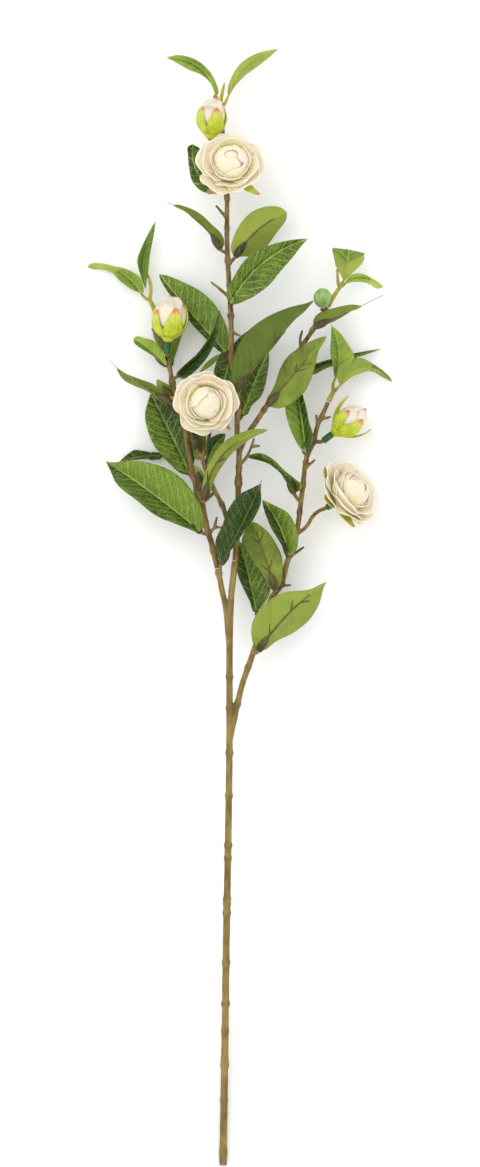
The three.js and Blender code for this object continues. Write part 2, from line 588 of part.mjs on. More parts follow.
/** The dark sleeve round a stalk, just under its calyx. */
function sleeve() {
  const top = -2 * GAP - CALYX_LENGTH;
  const foot = top - SLEEVE_LENGTH;
  const inner = STALK + GAP;
  return turned([[inner, foot], [SLEEVE_RADIUS, foot], [SLEEVE_RADIUS, top], [inner, top],
    [inner, foot]], 8);
}

/** The pieces of a bloom or bud, placed on its branch. */
function flowerMeshes(flower, petals, sepal) {
  const put = (body) => placed(body, vector(flower.place), vector(flower.facing), flower.spin);
  const pieces = [
    mesh(`${flower.name}_petals`, put(petals(flower.size)), COLORS.petal, 0.85),
    mesh(`${flower.name}_calyx`, put(calyx(sepals(flower.sepals, sepal), flower.size)), COLORS.sepal, 0.55),
  ];
  if (flower.sleeve) pieces.push(mesh(`${flower.name}_sleeve`, put(sleeve()), COLORS.sleeve, 0.5));
  return pieces;
}

/** One sepal for each length, evenly round its calyx. */
function sepals(lengths, shape) {
  return lengths.map((length, i) => ({ ...shape(length), turn: 36 + (i * 360) / lengths.length }));
}

// ---------------------------------------------------------------- tip sprigs

const YOUNG_LEAF = { start: 0.02, thickness: 1, rib: 0.9 };
const SPRIGS = [
  { name: 'sprig_top', stem: [[-3, 846.4, 15.8], [-3, 856, 16], [-1.6, 865, 17]], leaves: [
    { base: [-3.5, 849, 16], tip: [-48, 885.6, 20], bow: -11, half: 6, fold: 40, widest: 0.6 },
    { base: [-2.5, 849, 16], tip: [41.6, 891.2, 22], bow: 6, half: 7.5, fold: 45, under: true, widest: 0.6 }] },
  { name: 'sprig_left', stem: [[-56.2, 681.6, 11.8], [-60, 692, 11], [-61, 700, 10], [-64, 712, 9]], leaves: [
    { base: [-60.5, 694, 11], tip: [-56, 754.4, 12], bow: 7, half: 7, fold: 52 },
    { base: [-60, 692, 11], tip: [-110.4, 717.6, 0.2], bow: -6, half: 9, fold: 35, roll: [0, 30] }] },
  { name: 'sprig_upper', stem: [[81.1, 686.1, 23], [86, 696, 23], [91, 710, 22]], leaves: [
    { base: [91, 703, 23], tip: [98.5, 731, 28], half: 14, fold: 35, under: true, widest: 0.75, blunt: 0.3 },
    { base: [92, 704, 23], tip: [126.4, 701.5, 16], bow: 6, half: 6.5, fold: 40, roll: [0, 50] }] },
  { name: 'sprig_right', stem: [[81.9, 610.6, 19.8], [84, 617, 20], [88, 634, 21]], leaves: [
    { base: [85, 619, 20], tip: [84, 672, 32], bow: -7, half: 12, fold: 35, roll: [30, 30], widest: 0.5 },
    { base: [85, 619, 20], tip: [132.8, 627.2, 0.2], bow: 14, half: 10, fold: 45, under: true, widest: 0.5 }] },
];

/** A sprig: its yellow-green stem with a young leaf on each side. */
function sprig({ stem: points, leaves }) {
  return fuse([
    tapered(points, 1.7, 0.8, { sides: 5, steps: 3 }),
    ...leaves.map((leaf) => blade(leaf, YOUNG_LEAF.start, YOUNG_LEAF.thickness, YOUNG_LEAF.rib)),
  ]);
}

/** A branch with the twigs of its leaves and the stalks of its blooms and buds. */
function branch(name, bars) {
  const flowers = [...BLOOMS, ...BUDS].filter((flower) => flower.branch === name);
  return fuse([
    ...bars,
    ...LEAVES.filter((leaf) => leaf.branch === name).map((leaf) => twig(leaf)),
    ...flowers.map(stalk),
    ...STUBS[name].map((points) => rod(points.map(vector), points.map(() => STUB), 4)),
  ]);
}

/** The small closed bud on the upper twig. */
function smallBud() {
  const profile = [[0, 0], [2, 0], [6.4, 4.5], [7, 8.5], [4.6, 13.5], [0, 16]];
  return placed(turned(profile, 7), vector(SMALL_BUD.place), vector(SMALL_BUD.facing));
}

// ---------------------------------------------------------------- assembly

const TOUCHING = ['sprig_left', 'sprig_right']; // the sprigs whose leaf tips lie on the table
const spray = new THREE.Group();
spray.add(mesh('stem', rested(stem().subtract(stemWire(GAP))), COLORS.stem, 0.6));
spray.add(mesh('stem_wire', stemWire(0), COLORS.wire, 0.35, 1));
spray.add(mesh('branch_center', branch('center', [
  tapered(CENTER_BRANCH, 2.4, 1.8, { steps: 14 }),
  tapered(BLOOM_TWIG, 2.1, 1.8, { sides: 5, steps: 4 }),
  tapered(UPPER_TWIG, 2.3, 1.7, { sides: 5, steps: 6 }),
  smallStalk(),
]), COLORS.branch, 0.7));
spray.add(mesh('branch_left', branch('left', [tapered(LEFT_BRANCH, 2.5, 1.7, { steps: 11 })]), COLORS.branch, 0.7));
spray.add(mesh('branch_right', branch('right', [tapered(RIGHT_BRANCH, 2.4, 1.8, { steps: 10 })]), COLORS.branch, 0.7));
for (const leaf of LEAVES) {
  spray.add(mesh(leaf.name, grownLeaf(leaf), COLORS.leaf, 0.6));
}
for (const item of SPRIGS) {
  const grown = TOUCHING.includes(item.name) ? rested(sprig(item)) : sprig(item);
  spray.add(mesh(item.name, grown, COLORS.youngLeaf, 0.6));
}
for (const bloom of BLOOMS) spray.add(...flowerMeshes(bloom, bloomPetals, bloomSepal));
for (const bud of BUDS) spray.add(...flowerMeshes(bud, budPetals, budSepal));
spray.add(mesh('bud_small', smallBud(), COLORS.bud, 0.6));

const extent = new THREE.Box3().setFromObject(spray);
const middle = extent.getCenter(new THREE.Vector3());
spray.position.set(-middle.x, -middle.y, -extent.min.z);

export default spray;
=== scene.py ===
# %% [markdown]
# # A camellia spray, lying on its back
# The real spray is a shop-made one: a moulded khaki stem, brown moulded branches, leaves stamped
# from printed cloth and welded to a moulded rib, and blooms of cloth petals held in a lime green
# calyx. The construction model already holds every piece at its true size. This lesson gives each
# piece its fine form and its finish, in the same frame, so nothing has to be fitted afterwards.

# %% The construction model
import itertools
import math

import bpy
import numpy as np
from mathutils import Matrix, Vector


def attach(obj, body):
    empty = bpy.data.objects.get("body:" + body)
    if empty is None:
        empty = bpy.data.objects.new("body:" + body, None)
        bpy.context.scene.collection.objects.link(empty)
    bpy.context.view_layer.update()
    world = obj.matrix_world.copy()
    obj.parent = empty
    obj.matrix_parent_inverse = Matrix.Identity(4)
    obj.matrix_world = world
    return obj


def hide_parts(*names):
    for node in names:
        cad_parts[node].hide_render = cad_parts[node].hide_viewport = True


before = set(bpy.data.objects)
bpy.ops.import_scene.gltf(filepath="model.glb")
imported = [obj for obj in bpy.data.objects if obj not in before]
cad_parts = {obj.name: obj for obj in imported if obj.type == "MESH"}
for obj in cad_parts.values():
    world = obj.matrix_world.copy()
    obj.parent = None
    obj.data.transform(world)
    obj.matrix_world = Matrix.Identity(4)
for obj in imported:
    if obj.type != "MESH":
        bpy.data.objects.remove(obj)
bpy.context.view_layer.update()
print("construction nodes:", len(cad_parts))

# %% [markdown]
# ## Measures
# A spray is laid out most easily from the middle of its cut end, in millimetres: along the stem,
# across it, and up from the table. One helper turns such a place into metres in the shared frame.
# The tables below repeat the places that the construction model was built from.

# %% From the layout to the frame
MM = 0.001
CUT_END = np.array([-11.370, -445.762, 0.0])  # the middle of the cut end, in millimetres
UP = np.array([0.0, 0.0, 1.0])


def place(point):
    """A place in the layout, as millimetres in the frame."""
    return np.array(point, float) + CUT_END


def unit(vectors):
    """Vectors of length 1, along the last axis."""
    vectors = np.asarray(vectors, float)
    return vectors / np.maximum(np.linalg.norm(vectors, axis=-1, keepdims=True), 1e-9)


print("cut end, in metres:", (CUT_END * MM).round(4))

# %% [markdown]
# ## Camera
# The spray hangs upright in use. Here it lies on a table, so the camera looks straight down
# on it, from far off and with a long lens, which keeps the far leaves from shrinking. A 36 mm sensor
# sees the height that we ask for when the focal length is 36 mm times distance over height.

# %% The camera
VIEW_MIDDLE = (-0.0002, 0.0194)
VIEW_HEIGHT = 0.9336
CAMERA_DISTANCE = 10.0
FARTHEST = 100.0  # nothing beyond this is seen
SENSOR = 36.0  # in millimetres, as lenses are

camera_data = bpy.data.cameras.new("camera")
camera_data.sensor_width = SENSOR
camera_data.lens = SENSOR * CAMERA_DISTANCE / VIEW_HEIGHT
camera_data.clip_end = FARTHEST
camera = bpy.data.objects.new("camera", camera_data)
camera.location = (*VIEW_MIDDLE, CAMERA_DISTANCE)
bpy.context.scene.collection.objects.link(camera)
bpy.context.scene.camera = camera
print("lens:", round(camera_data.lens), "mm")

# %% [markdown]
# ## Room
# A white table and white daylight from all round give the pale, almost shadowless look of a shop
# picture. One large soft lamp from the upper left still shows which way each leaf is folded.

# %% Daylight and lamp
DAYLIGHT = 1.17
LAMP_POWER = 12.0  # in watts
LAMP_SIZE = 1.6
LAMP_PLACE = (-0.9, 0.9, 2.0)

scene = bpy.context.scene
scene.view_settings.view_transform = "Standard"
world = bpy.data.worlds.new("daylight")
scene.world = world
world.use_nodes = True
daylight = world.node_tree.nodes["Background"]
daylight.inputs["Color"].default_value = (1, 1, 1, 1)
daylight.inputs["Strength"].default_value = DAYLIGHT

lamp_data = bpy.data.lights.new("softbox", "AREA")
lamp_data.energy = LAMP_POWER
lamp_data.size = LAMP_SIZE
lamp = bpy.data.objects.new("softbox", lamp_data)
lamp.location = LAMP_PLACE
lamp.rotation_euler = Vector(LAMP_PLACE).to_track_quat("Z", "Y").to_euler()
scene.collection.objects.link(lamp)
print("lamp height:", LAMP_PLACE[2], "m")

# %% [markdown]
# ## Making meshes
# Most pieces are worked out row by row as numbers, because a formula gives a leaf or a petal its
# exact outline. Every piece is gathered from its parts first, and then made into one mesh whose
# place is in its points. Each point also carries a few values that the finishes read, such as how
# far along its leaf it lies.

# %% A piece and its parts
VALUES = ("along", "across", "span", "reach", "tone")


def moved(points, matrix):
    """Points turned, sized and moved by a matrix."""
    matrix = np.array(matrix)
    return np.asarray(points, float) @ matrix[:3, :3].T + matrix[:3, 3]


class Piece:
    """The parts of one object, in millimetres, with a finish for each of them."""

    def __init__(self, name):
        self.name = name
        self.points = []
        self.faces = []
        self.finishes = []
        self.materials = []
        self.values = {value: [] for value in VALUES}
        self.count = 0

    def finish_number(self, material):
        if material not in self.materials:
            self.materials.append(material)
        return self.materials.index(material)

    def add(self, points, faces, materials, **values):
        """Adds a part. materials is one finish, or one for each face."""
        points = np.asarray(points, float).reshape(-1, 3)
        each = materials if isinstance(materials, list) else [materials] * len(faces)
        self.finishes += [self.finish_number(material) for material in each]
        self.faces += [tuple(corner + self.count for corner in face) for face in faces]
        self.points.append(points)
        for value in VALUES:
            given = np.asarray(values.get(value, 0.0), float)
            self.values[value].append(np.broadcast_to(given.reshape(-1), (len(points),)).copy())
        self.count += len(points)

    def add_piece(self, other, matrix):
        """Adds the parts of another piece, moved by a matrix."""
        finishes = [other.materials[number] for number in other.finishes]
        values = {value: np.concatenate(other.values[value]) for value in VALUES}
        self.add(moved(np.concatenate(other.points), matrix), other.faces, finishes, **values)

    def add_mesh(self, mesh, material, matrix=Matrix()):
        """Adds the mesh that a node tree made, which is in millimetres too."""
        points = np.empty(len(mesh.vertices) * 3)
        mesh.vertices.foreach_get("co", points)
        values = {}
        for value in VALUES:
            if value in mesh.attributes:
                values[value] = np.empty(len(mesh.vertices))
                mesh.attributes[value].data.foreach_get("value", values[value])
        faces = [tuple(face.vertices) for face in mesh.polygons]
        self.add(moved(points.reshape(-1, 3), matrix), faces, material, **values)

    def mesh(self, millimetre=MM):
        """All of the parts as one mesh, in metres, or in another unit by the length of its millimetre."""
        mesh = bpy.data.meshes.new(self.name)
        mesh.from_pydata((np.concatenate(self.points) * millimetre).tolist(), [], self.faces)
        for material in self.materials:
            mesh.materials.append(material)
        mesh.polygons.foreach_set("material_index", self.finishes)
        mesh.shade_smooth()
        for value in VALUES:
            attribute = mesh.attributes.new(value, "FLOAT", "POINT")
            attribute.data.foreach_set("value", np.concatenate(self.values[value]))
        mesh.update()
        return mesh

    def make(self, slot, *nodes):
        """The finished object, which stands for its construction nodes."""
        piece = bpy.data.objects.new(self.name, self.mesh())
        scene.collection.objects.link(piece)
        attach(piece, "root")
        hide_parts(*nodes)
        return piece


print("values that each point carries:", ", ".join(VALUES))

# %% Faces of sheets and of rings
def sheet_faces(rows, columns):
    """The faces of a thin sheet with a front and a back grid, and a rim all round."""
    def at(side, row, column):
        return side * rows * columns + row * columns + column

    front, back, rim = [], [], []
    for row in range(rows - 1):
        for column in range(columns - 1):
            corners = [(row, column), (row, column + 1), (row + 1, column + 1), (row + 1, column)]
            front.append(tuple(at(0, *corner) for corner in corners))
            back.append(tuple(at(1, *corner) for corner in reversed(corners)))
    edge = [(0, column) for column in range(columns - 1)]
    edge += [(row, columns - 1) for row in range(rows - 1)]
    edge += [(rows - 1, column) for column in range(columns - 1, 0, -1)]
    edge += [(row, 0) for row in range(rows - 1, 0, -1)]
    for here, after in zip(edge, edge[1:] + edge[:1]):
        rim.append((at(0, *after), at(0, *here), at(1, *here), at(1, *after)))
    return front, back, rim


def ring_faces(count, sides, closed):
    """The faces between a number of rings of points, from first to last, or all round if closed."""
    faces = []
    for level in range(count if closed else count - 1):
        low, high = level * sides, (level + 1) % count * sides
        faces += [(low + side, low + (side + 1) % sides, high + (side + 1) % sides, high + side)
                  for side in range(sides)]
    return faces


print("a 3 by 3 sheet has", sum(len(part) for part in sheet_faces(3, 3)), "faces")

# %% [markdown]
# ## Finishes
# None of the finishes uses a picture. Printed cloth, bark and petals are all built from noise,
# cells and waves. Short helpers keep each finish readable: one adds any node, and others do sums,
# mix two colours, or read a value that the mesh carries.

# %% Short ways to add shader nodes
def add(tree, kind, inputs=None, **settings):
    """A new node, with its settings, and with its inputs set or linked."""
    node = tree.nodes.new(kind)
    for key, value in settings.items():
        setattr(node, key, value)
    for key, value in (inputs or {}).items():
        if isinstance(value, bpy.types.NodeSocket):
            tree.links.new(value, node.inputs[key])
        else:
            node.inputs[key].default_value = value
    return node


def calc(tree, operation, *values):
    """The result of a sum on numbers or sockets."""
    return add(tree, "ShaderNodeMath", dict(enumerate(values)), operation=operation).outputs[0]


def mix(tree, factor, one, other):
    """One colour where factor is 0, and the other where it is 1."""
    return add(tree, "ShaderNodeMix", {0: factor, 6: one, 7: other}, data_type="RGBA").outputs[2]


def ramp(tree, value, low, high, start=0.0, end=1.0):
    """A smooth step from start to end, while value goes from low to high."""
    inputs = {0: value, 1: low, 2: high, 3: start, 4: end}
    return add(tree, "ShaderNodeMapRange", inputs, interpolation_type="SMOOTHSTEP").outputs[0]


def read(tree, value):
    """A value that each point of the mesh carries."""
    return add(tree, "ShaderNodeAttribute", attribute_name=value).outputs["Fac"]


def noise(tree, size, detail=2.0, vector=None):
    """Soft noise from 0 to 1, with lumps of a size in millimetres."""
    where = vector or add(tree, "ShaderNodeTexCoord").outputs["Object"]
    inputs = {"Vector": where, "Scale": 1 / (size * MM), "Detail": detail}
    return add(tree, "ShaderNodeTexNoise", inputs).outputs["Fac"]


def swing(tree, size, detail, amount):
    """Soft noise that swings by half of an amount to each side of 0."""
    return calc(tree, "MULTIPLY", calc(tree, "SUBTRACT", noise(tree, size, detail), 0.5), amount)


def colour(red, green, blue):
    """A colour given as it looks on a screen, from 0 to 255, as the linear light that shaders use."""
    share = np.array([red, green, blue]) / 255
    return (*np.where(share <= 0.04045, share / 12.92, ((share + 0.055) / 1.055) ** 2.4), 1.0)


def new_finish(name, roughness):
    """A material with its tree and its shader."""
    material = bpy.data.materials.new(name)
    material.use_nodes = True
    shader = material.node_tree.nodes["Principled BSDF"]
    shader.inputs["Roughness"].default_value = roughness
    return material, material.node_tree, shader


def relief(tree, shader, height, depth):
    """Bumps the surface: height runs from 0 to 1, and depth is in millimetres."""
    bump = add(tree, "ShaderNodeBump", {"Height": height, "Distance": depth * MM, "Strength": 1.0})
    tree.links.new(bump.outputs["Normal"], shader.inputs["Normal"])


print("linear mid green:", [round(float(part), 3) for part in colour(100, 145, 50)])

# %% [markdown]
# ## Leaf cloth
# The leaves are satin cloth, printed with a pale midrib, side veins that leave it in pairs and bend
# towards the tip, thin forks between them, and a net of fine veins. The printed veins are drawn
# from two measures that each point carries: how far it is along the midrib, and how far away from
# it. The first is also why they follow a bowed leaf, which a flat pattern would not.

# %% The printed veins
VEIN_SPACING = 7.5  # along the midrib, in millimetres
VEIN_SLANT = 0.78  # how far a side vein runs on for each millimetre outwards
VEIN_BEND = 0.014  # how it then bends towards the tip
VEIN_OFFSET = 0.3  # the two sides start their veins this share of a spacing apart
VEIN_WIDTH = 0.42
VEIN_EDGE = (0.5 * VEIN_WIDTH, 1.6 * VEIN_WIDTH)  # where its full colour ends, and where it is gone
VEIN_WANDER = (12.0, 4, 8.0)  # size and detail of the noise that a vein wanders with, and how far
FORK_RUN = 9.0  # how far out a thin fork takes to cross from one side vein to the next
FORK_EDGE = (0.3 * VEIN_WIDTH, VEIN_WIDTH)
FORK_STRENGTH = 0.6
FORK_PATCH = 5.0  # size of the patches where forks show
FORK_LEVELS = (0.4, 0.55)
MIDRIB_EDGE = (0.35, 0.9)
NET_CELL = 2.6
NET_EDGE = (0.02, 0.14)  # as a share of a cell


def from_line(tree, phase, spacing):
    """How far off the nearest line is. A line lies halfway through each turn of the phase."""
    beside = calc(tree, "ABSOLUTE", calc(tree, "SUBTRACT", calc(tree, "FRACT", phase), 0.5))
    return calc(tree, "MULTIPLY", beside, spacing)


def side_veins(tree, span, reach):
    """The side veins and their thin forks, from 0 to 1."""
    away = calc(tree, "ABSOLUTE", reach)
    run = calc(tree, "MULTIPLY", away, VEIN_SLANT)
    bend = calc(tree, "MULTIPLY", calc(tree, "MULTIPLY", away, away), VEIN_BEND)
    start = calc(tree, "SUBTRACT", calc(tree, "SUBTRACT", span, run), bend)
    start = calc(tree, "ADD", start, swing(tree, *VEIN_WANDER))
    offset = calc(tree, "MULTIPLY", calc(tree, "SIGN", reach), VEIN_OFFSET)
    phase = calc(tree, "ADD", calc(tree, "DIVIDE", start, VEIN_SPACING), offset)
    veins = ramp(tree, from_line(tree, phase, VEIN_SPACING), *VEIN_EDGE, 1.0, 0.0)
    crossing = calc(tree, "ADD", calc(tree, "MULTIPLY", phase, 2.0), calc(tree, "DIVIDE", away, FORK_RUN))
    forks = ramp(tree, from_line(tree, crossing, VEIN_SPACING / 2), *FORK_EDGE, FORK_STRENGTH, 0.0)
    forks = calc(tree, "MULTIPLY", forks, ramp(tree, noise(tree, FORK_PATCH), *FORK_LEVELS))
    return calc(tree, "MAXIMUM", veins, forks)


def all_veins(tree, span, reach, net):
    """The side veins, the midrib, and the net of fine veins at its own strength."""
    flat = add(tree, "ShaderNodeCombineXYZ", {0: span, 1: reach}).outputs[0]
    cells = add(tree, "ShaderNodeTexVoronoi", {"Vector": flat, "Scale": 1 / NET_CELL},
                feature="DISTANCE_TO_EDGE").outputs["Distance"]
    net_veins = ramp(tree, cells, *NET_EDGE, net, 0.0)
    middle = ramp(tree, calc(tree, "ABSOLUTE", reach), *MIDRIB_EDGE, 1.0, 0.0)
    return calc(tree, "MAXIMUM", calc(tree, "MAXIMUM", side_veins(tree, span, reach), net_veins), middle)


print("side veins every", VEIN_SPACING, "mm")

# %% The leaf cloth finish
WORN_PATCH = (9.0, 3)  # size and detail of the patches where the print is worn
WORN_LEVELS = (0.3, 0.62)
MOST_WORN = 0.45  # how much of the print is left there
FAINTEST = 0.3  # how much of it is left where the cloth is darkest
FAINT_TONES = (-0.2, 0.45)
CLOUDS = (13.0, 4, 0.9)  # size, detail and swing of the lighter and darker clouds
SHADE_BAND = (0.5, 1.1, 1.8, 4.2)  # where the painted shadow in the fold beside the midrib starts, is full, starts to fade and ends
WEAVE = 0.7
VEIN_PRESS = -0.6  # how far a vein is pressed in, as a share of the relief
WEAVE_PRESS = 0.35
LEAF_RELIEF = 0.35


def leaf_cloth(name, dark, light, vein, strength, roughness=0.5, net=0.42, shade=0.0):
    """Printed leaf cloth. strength is how clearly its veins show, and shade the painted shadow by its midrib.
    """
    material, tree, shader = new_finish(name, roughness)
    span, reach, tone = read(tree, "span"), read(tree, "reach"), read(tree, "tone")
    veins = all_veins(tree, span, reach, net)
    worn = ramp(tree, noise(tree, *WORN_PATCH), *WORN_LEVELS, MOST_WORN, 1.0)
    clear = calc(tree, "MULTIPLY", worn, ramp(tree, tone, *FAINT_TONES, FAINTEST, 1.0))
    printed = calc(tree, "MULTIPLY", calc(tree, "MULTIPLY", veins, clear), strength)
    # the ground follows tone, which holds the print tone of the leaf and the painted light and shade of its
    # folded halves
    cloudy = calc(tree, "ADD", swing(tree, *CLOUDS), tone)
    # painted shadow in the fold beside the midrib, which darkens the ground colour there
    painted_midrib_shadow = calc(tree, "MULTIPLY", ramp(tree, reach, *SHADE_BAND[:2], 0.0, shade),
                ramp(tree, reach, *SHADE_BAND[2:], 1.0, 0.0))
    ground = mix(tree, ramp(tree, calc(tree, "SUBTRACT", cloudy, painted_midrib_shadow), 0.0, 1.0), dark, light)
    tree.links.new(mix(tree, printed, ground, vein), shader.inputs["Base Color"])
    height = calc(tree, "ADD", calc(tree, "MULTIPLY", veins, VEIN_PRESS),
                  calc(tree, "MULTIPLY", noise(tree, WEAVE), WEAVE_PRESS))
    relief(tree, shader, height, LEAF_RELIEF)
    shader.inputs["Specular IOR Level"].default_value = 0.25
    return material


leaf_top = leaf_cloth("leaf top cloth", colour(28, 55, 14), colour(98, 126, 30),
                      colour(162, 184, 82), strength=0.8, shade=0.5)
leaf_back = leaf_cloth("leaf back cloth", colour(78, 98, 26), colour(140, 154, 58),
                       colour(166, 176, 90), strength=0.28, roughness=0.62, net=0.15)
young_top = leaf_cloth("young leaf top cloth", colour(72, 108, 28), colour(150, 174, 58),
                       colour(180, 192, 92), strength=0.6, net=0.4, shade=0.3)
young_back = leaf_cloth("young leaf back cloth", colour(122, 142, 50), colour(172, 186, 84),
                        colour(188, 196, 110), strength=0.35, roughness=0.62, net=0.15)
print("leaf cloths:", leaf_top.name, leaf_back.name, young_top.name, young_back.name)

# %% [markdown]
# ## Moulded plastic
# The stem, the branches, the ribs, the sockets and the sleeves are all moulded soft plastic, tinted
# and then rubbed with a darker stain that stays in the hollows. One finish covers them all, with
# its own two colours, size of grain and shine.

# %% The moulded plastic finish
GRAIN_STRETCH = 5.0  # how much longer than wide the grain is, along the spray
CLOUD_GRAINS = 6  # size of the broad stains, in grains
STREAK = 0.5  # share of the stain that follows the grain
STAIN_LEVELS = (0.34, 0.66)
SHINE_LEVELS = (0.3, 0.7)
SHINE_SWING = (0.12, -0.08)  # how much rougher the hollows are, and how much smoother the ridges


def moulded(name, dark, light, roughness, grain, depth):
    """Stained plastic with grain that runs along the spray. grain and depth are in millimetres."""
    material, tree, shader = new_finish(name, roughness)
    where = add(tree, "ShaderNodeTexCoord").outputs["Object"]
    scale = (1.0, 1 / GRAIN_STRETCH, 1.0)
    long_way = add(tree, "ShaderNodeMapping", {"Vector": where, "Scale": scale}).outputs[0]
    fine = noise(tree, grain, 4, long_way)
    broad = noise(tree, grain * CLOUD_GRAINS, 3)
    stain = calc(tree, "ADD", calc(tree, "MULTIPLY", fine, STREAK), calc(tree, "MULTIPLY", broad, 1 - STREAK))
    tree.links.new(mix(tree, ramp(tree, stain, *STAIN_LEVELS), dark, light), shader.inputs["Base Color"])
    shine = ramp(tree, fine, *SHINE_LEVELS, roughness + SHINE_SWING[0], roughness + SHINE_SWING[1])
    tree.links.new(shine, shader.inputs["Roughness"])
    relief(tree, shader, fine, depth)
    shader.inputs["Specular IOR Level"].default_value = 0.35
    return material


stem_plastic = moulded("khaki stem plastic", colour(104, 84, 38), colour(148, 128, 64),
                       roughness=0.55, grain=2.5, depth=0.25)
bark_plastic = moulded("brown branch plastic", colour(80, 60, 28), colour(142, 116, 62),
                       roughness=0.6, grain=2.0, depth=0.35)
rib_plastic = moulded("leaf rib plastic", colour(72, 62, 14), colour(112, 100, 34),
                      roughness=0.5, grain=1.5, depth=0.1)
socket_plastic = moulded("leaf socket plastic", colour(46, 42, 16), colour(88, 80, 34),
                         roughness=0.5, grain=1.8, depth=0.15)
sprig_plastic = moulded("young sprig plastic", colour(134, 124, 30), colour(180, 172, 62),
                        roughness=0.45, grain=2.0, depth=0.12)
sleeve_plastic = moulded("green sleeve plastic", colour(28, 74, 34), colour(60, 112, 56),
                         roughness=0.4, grain=1.5, depth=0.1)
print("plastics for:", stem_plastic.name, bark_plastic.name, rib_plastic.name, socket_plastic.name)

# %% [markdown]
# ## Rods by geometry nodes
# Branches, twigs, ribs and stalks all follow a line and change in thickness. A node tree is the
# right tool: it takes lines with a radius at each point, lays points along them at an even step,
# turns them into round rods, and roughens them a little. A change of step or of roughness then
# needs one number. The tree works in millimetres, and the result becomes a plain mesh.

# %% Short ways to make a tree
def new_tree(name, sockets):
    """An empty geometry tree with named inputs, and the nodes at its two ends."""
    tree = bpy.data.node_groups.new(name, "GeometryNodeTree")
    tree.interface.new_socket("Geometry", in_out="INPUT", socket_type="NodeSocketGeometry")
    tree.interface.new_socket("Geometry", in_out="OUTPUT", socket_type="NodeSocketGeometry")
    for label, kind in sockets.items():
        tree.interface.new_socket(label, in_out="INPUT", socket_type=kind)
    return tree, tree.nodes.new("NodeGroupInput"), tree.nodes.new("NodeGroupOutput")


def end_tree(tree, end, geometry, material):
    """The close of every tree: copies made real, then the finish."""
    real = add(tree, "GeometryNodeRealizeInstances", {0: geometry}).outputs[0]
    finished = add(tree, "GeometryNodeSetMaterial", {"Geometry": real, "Material": material}).outputs[0]
    tree.links.new(finished, end.inputs[0])


def plain_mesh(maker):
    """What an object's modifiers make, as a plain mesh. The object itself goes."""
    graph = bpy.context.evaluated_depsgraph_get()
    result = bpy.data.meshes.new_from_object(maker.evaluated_get(graph))
    maker.modifiers.clear()
    bpy.data.objects.remove(maker)
    return result


def run_tree(tree, data, settings):
    """What a tree makes of a mesh or a curve, as a plain mesh."""
    maker = bpy.data.objects.new("maker", data)
    scene.collection.objects.link(maker)
    modifier = maker.modifiers.new(tree.name, "NODES")
    modifier.node_group = tree
    for item in tree.interface.items_tree:
        if item.in_out == "INPUT" and item.name in settings:
            modifier[item.identifier] = settings[item.name]
    return plain_mesh(maker)


print("node groups so far:", len(bpy.data.node_groups))

# %% The rod tree
def rod_tree():
    """Lines with a radius at each point, made into round rods."""
    tree, start, end = new_tree("rods", {
        "Step": "NodeSocketFloat", "Sides": "NodeSocketInt", "Roughness": "NodeSocketFloat",
        "Lump Size": "NodeSocketFloat", "Material": "NodeSocketMaterial"})
    given = start.outputs
    even = add(tree, "GeometryNodeResampleCurve", {"Curve": given["Geometry"], "Length": given["Step"]},
               mode="LENGTH").outputs[0]
    section = add(tree, "GeometryNodeCurvePrimitiveCircle", {"Resolution": given["Sides"], "Radius": 1.0})
    radius = tree.nodes.new("GeometryNodeInputRadius").outputs[0]
    rods = add(tree, "GeometryNodeCurveToMesh", {"Curve": even, "Profile Curve": section.outputs["Curve"],
                                                 "Scale": radius, "Fill Caps": True}).outputs[0]
    lumps = add(tree, "ShaderNodeTexNoise", {"Scale": calc(tree, "DIVIDE", 1.0, given["Lump Size"]),
                                             "Detail": 2.0}).outputs["Fac"]
    push = calc(tree, "MULTIPLY", calc(tree, "SUBTRACT", lumps, 0.5), given["Roughness"])
    normal = tree.nodes.new("GeometryNodeInputNormal").outputs[0]
    offset = add(tree, "ShaderNodeVectorMath", {0: normal, "Scale": push}, operation="SCALE").outputs[0]
    rough = add(tree, "GeometryNodeSetPosition", {"Geometry": rods, "Offset": offset}).outputs[0]
    smooth = add(tree, "GeometryNodeSetShadeSmooth", {"Geometry": rough}).outputs[0]
    end_tree(tree, end, smooth, given["Material"])
    return tree


RODS = rod_tree()


def rods(chains, material, step=1.0, sides=10, roughness=0.0, lump=3.0):
    """Round rods along chains of (points, radii), in millimetres."""
    lines = bpy.data.curves.new("lines", "CURVE")
    lines.dimensions = "3D"
    for points, radii in chains:
        points = np.asarray(points, float)
        radii = np.broadcast_to(np.asarray(radii, float), (len(points),)).copy()
        spline = lines.splines.new("POLY")
        spline.points.add(len(points) - 1)
        spline.points.foreach_set("co", np.column_stack([points, np.ones(len(points))]).ravel())
        spline.points.foreach_set("radius", radii)
    return run_tree(RODS, lines, {"Step": step, "Sides": sides, "Roughness": roughness,
                                  "Lump Size": lump, "Material": material})


trial = rods([([(0, 0, 0), (10, 0, 0)], 1.0)], rib_plastic)
print("a 10 mm rod:", len(trial.vertices), "points")

# %% Smooth lines
def smooth_line(points, step=1.0):
    """A smooth curve through points, as a chain of places about a step apart."""
    points = np.asarray(points, float)
    ends = [2 * points[0] - points[1], 2 * points[-1] - points[-2]]
    padded = np.vstack([ends[0], points, ends[1]])
    chain = []
    for before, start, end, after in zip(padded, padded[1:], padded[2:], padded[3:]):
        count = max(2, int(np.linalg.norm(end - start) / step))
        share = np.linspace(0, 1, count, endpoint=False)[:, None]
        leave, arrive = (end - before) / 2, (after - start) / 2
        chain.append((2 * share**3 - 3 * share**2 + 1) * start + (share**3 - 2 * share**2 + share) * leave
                     + (3 * share**2 - 2 * share**3) * end + (share**3 - share**2) * arrive)
    return np.vstack([*chain, points[-1:]])


def travel(line):
    """How far along a line each of its places is."""
    return np.concatenate([[0], np.cumsum(np.linalg.norm(np.diff(line, axis=0), axis=1))])


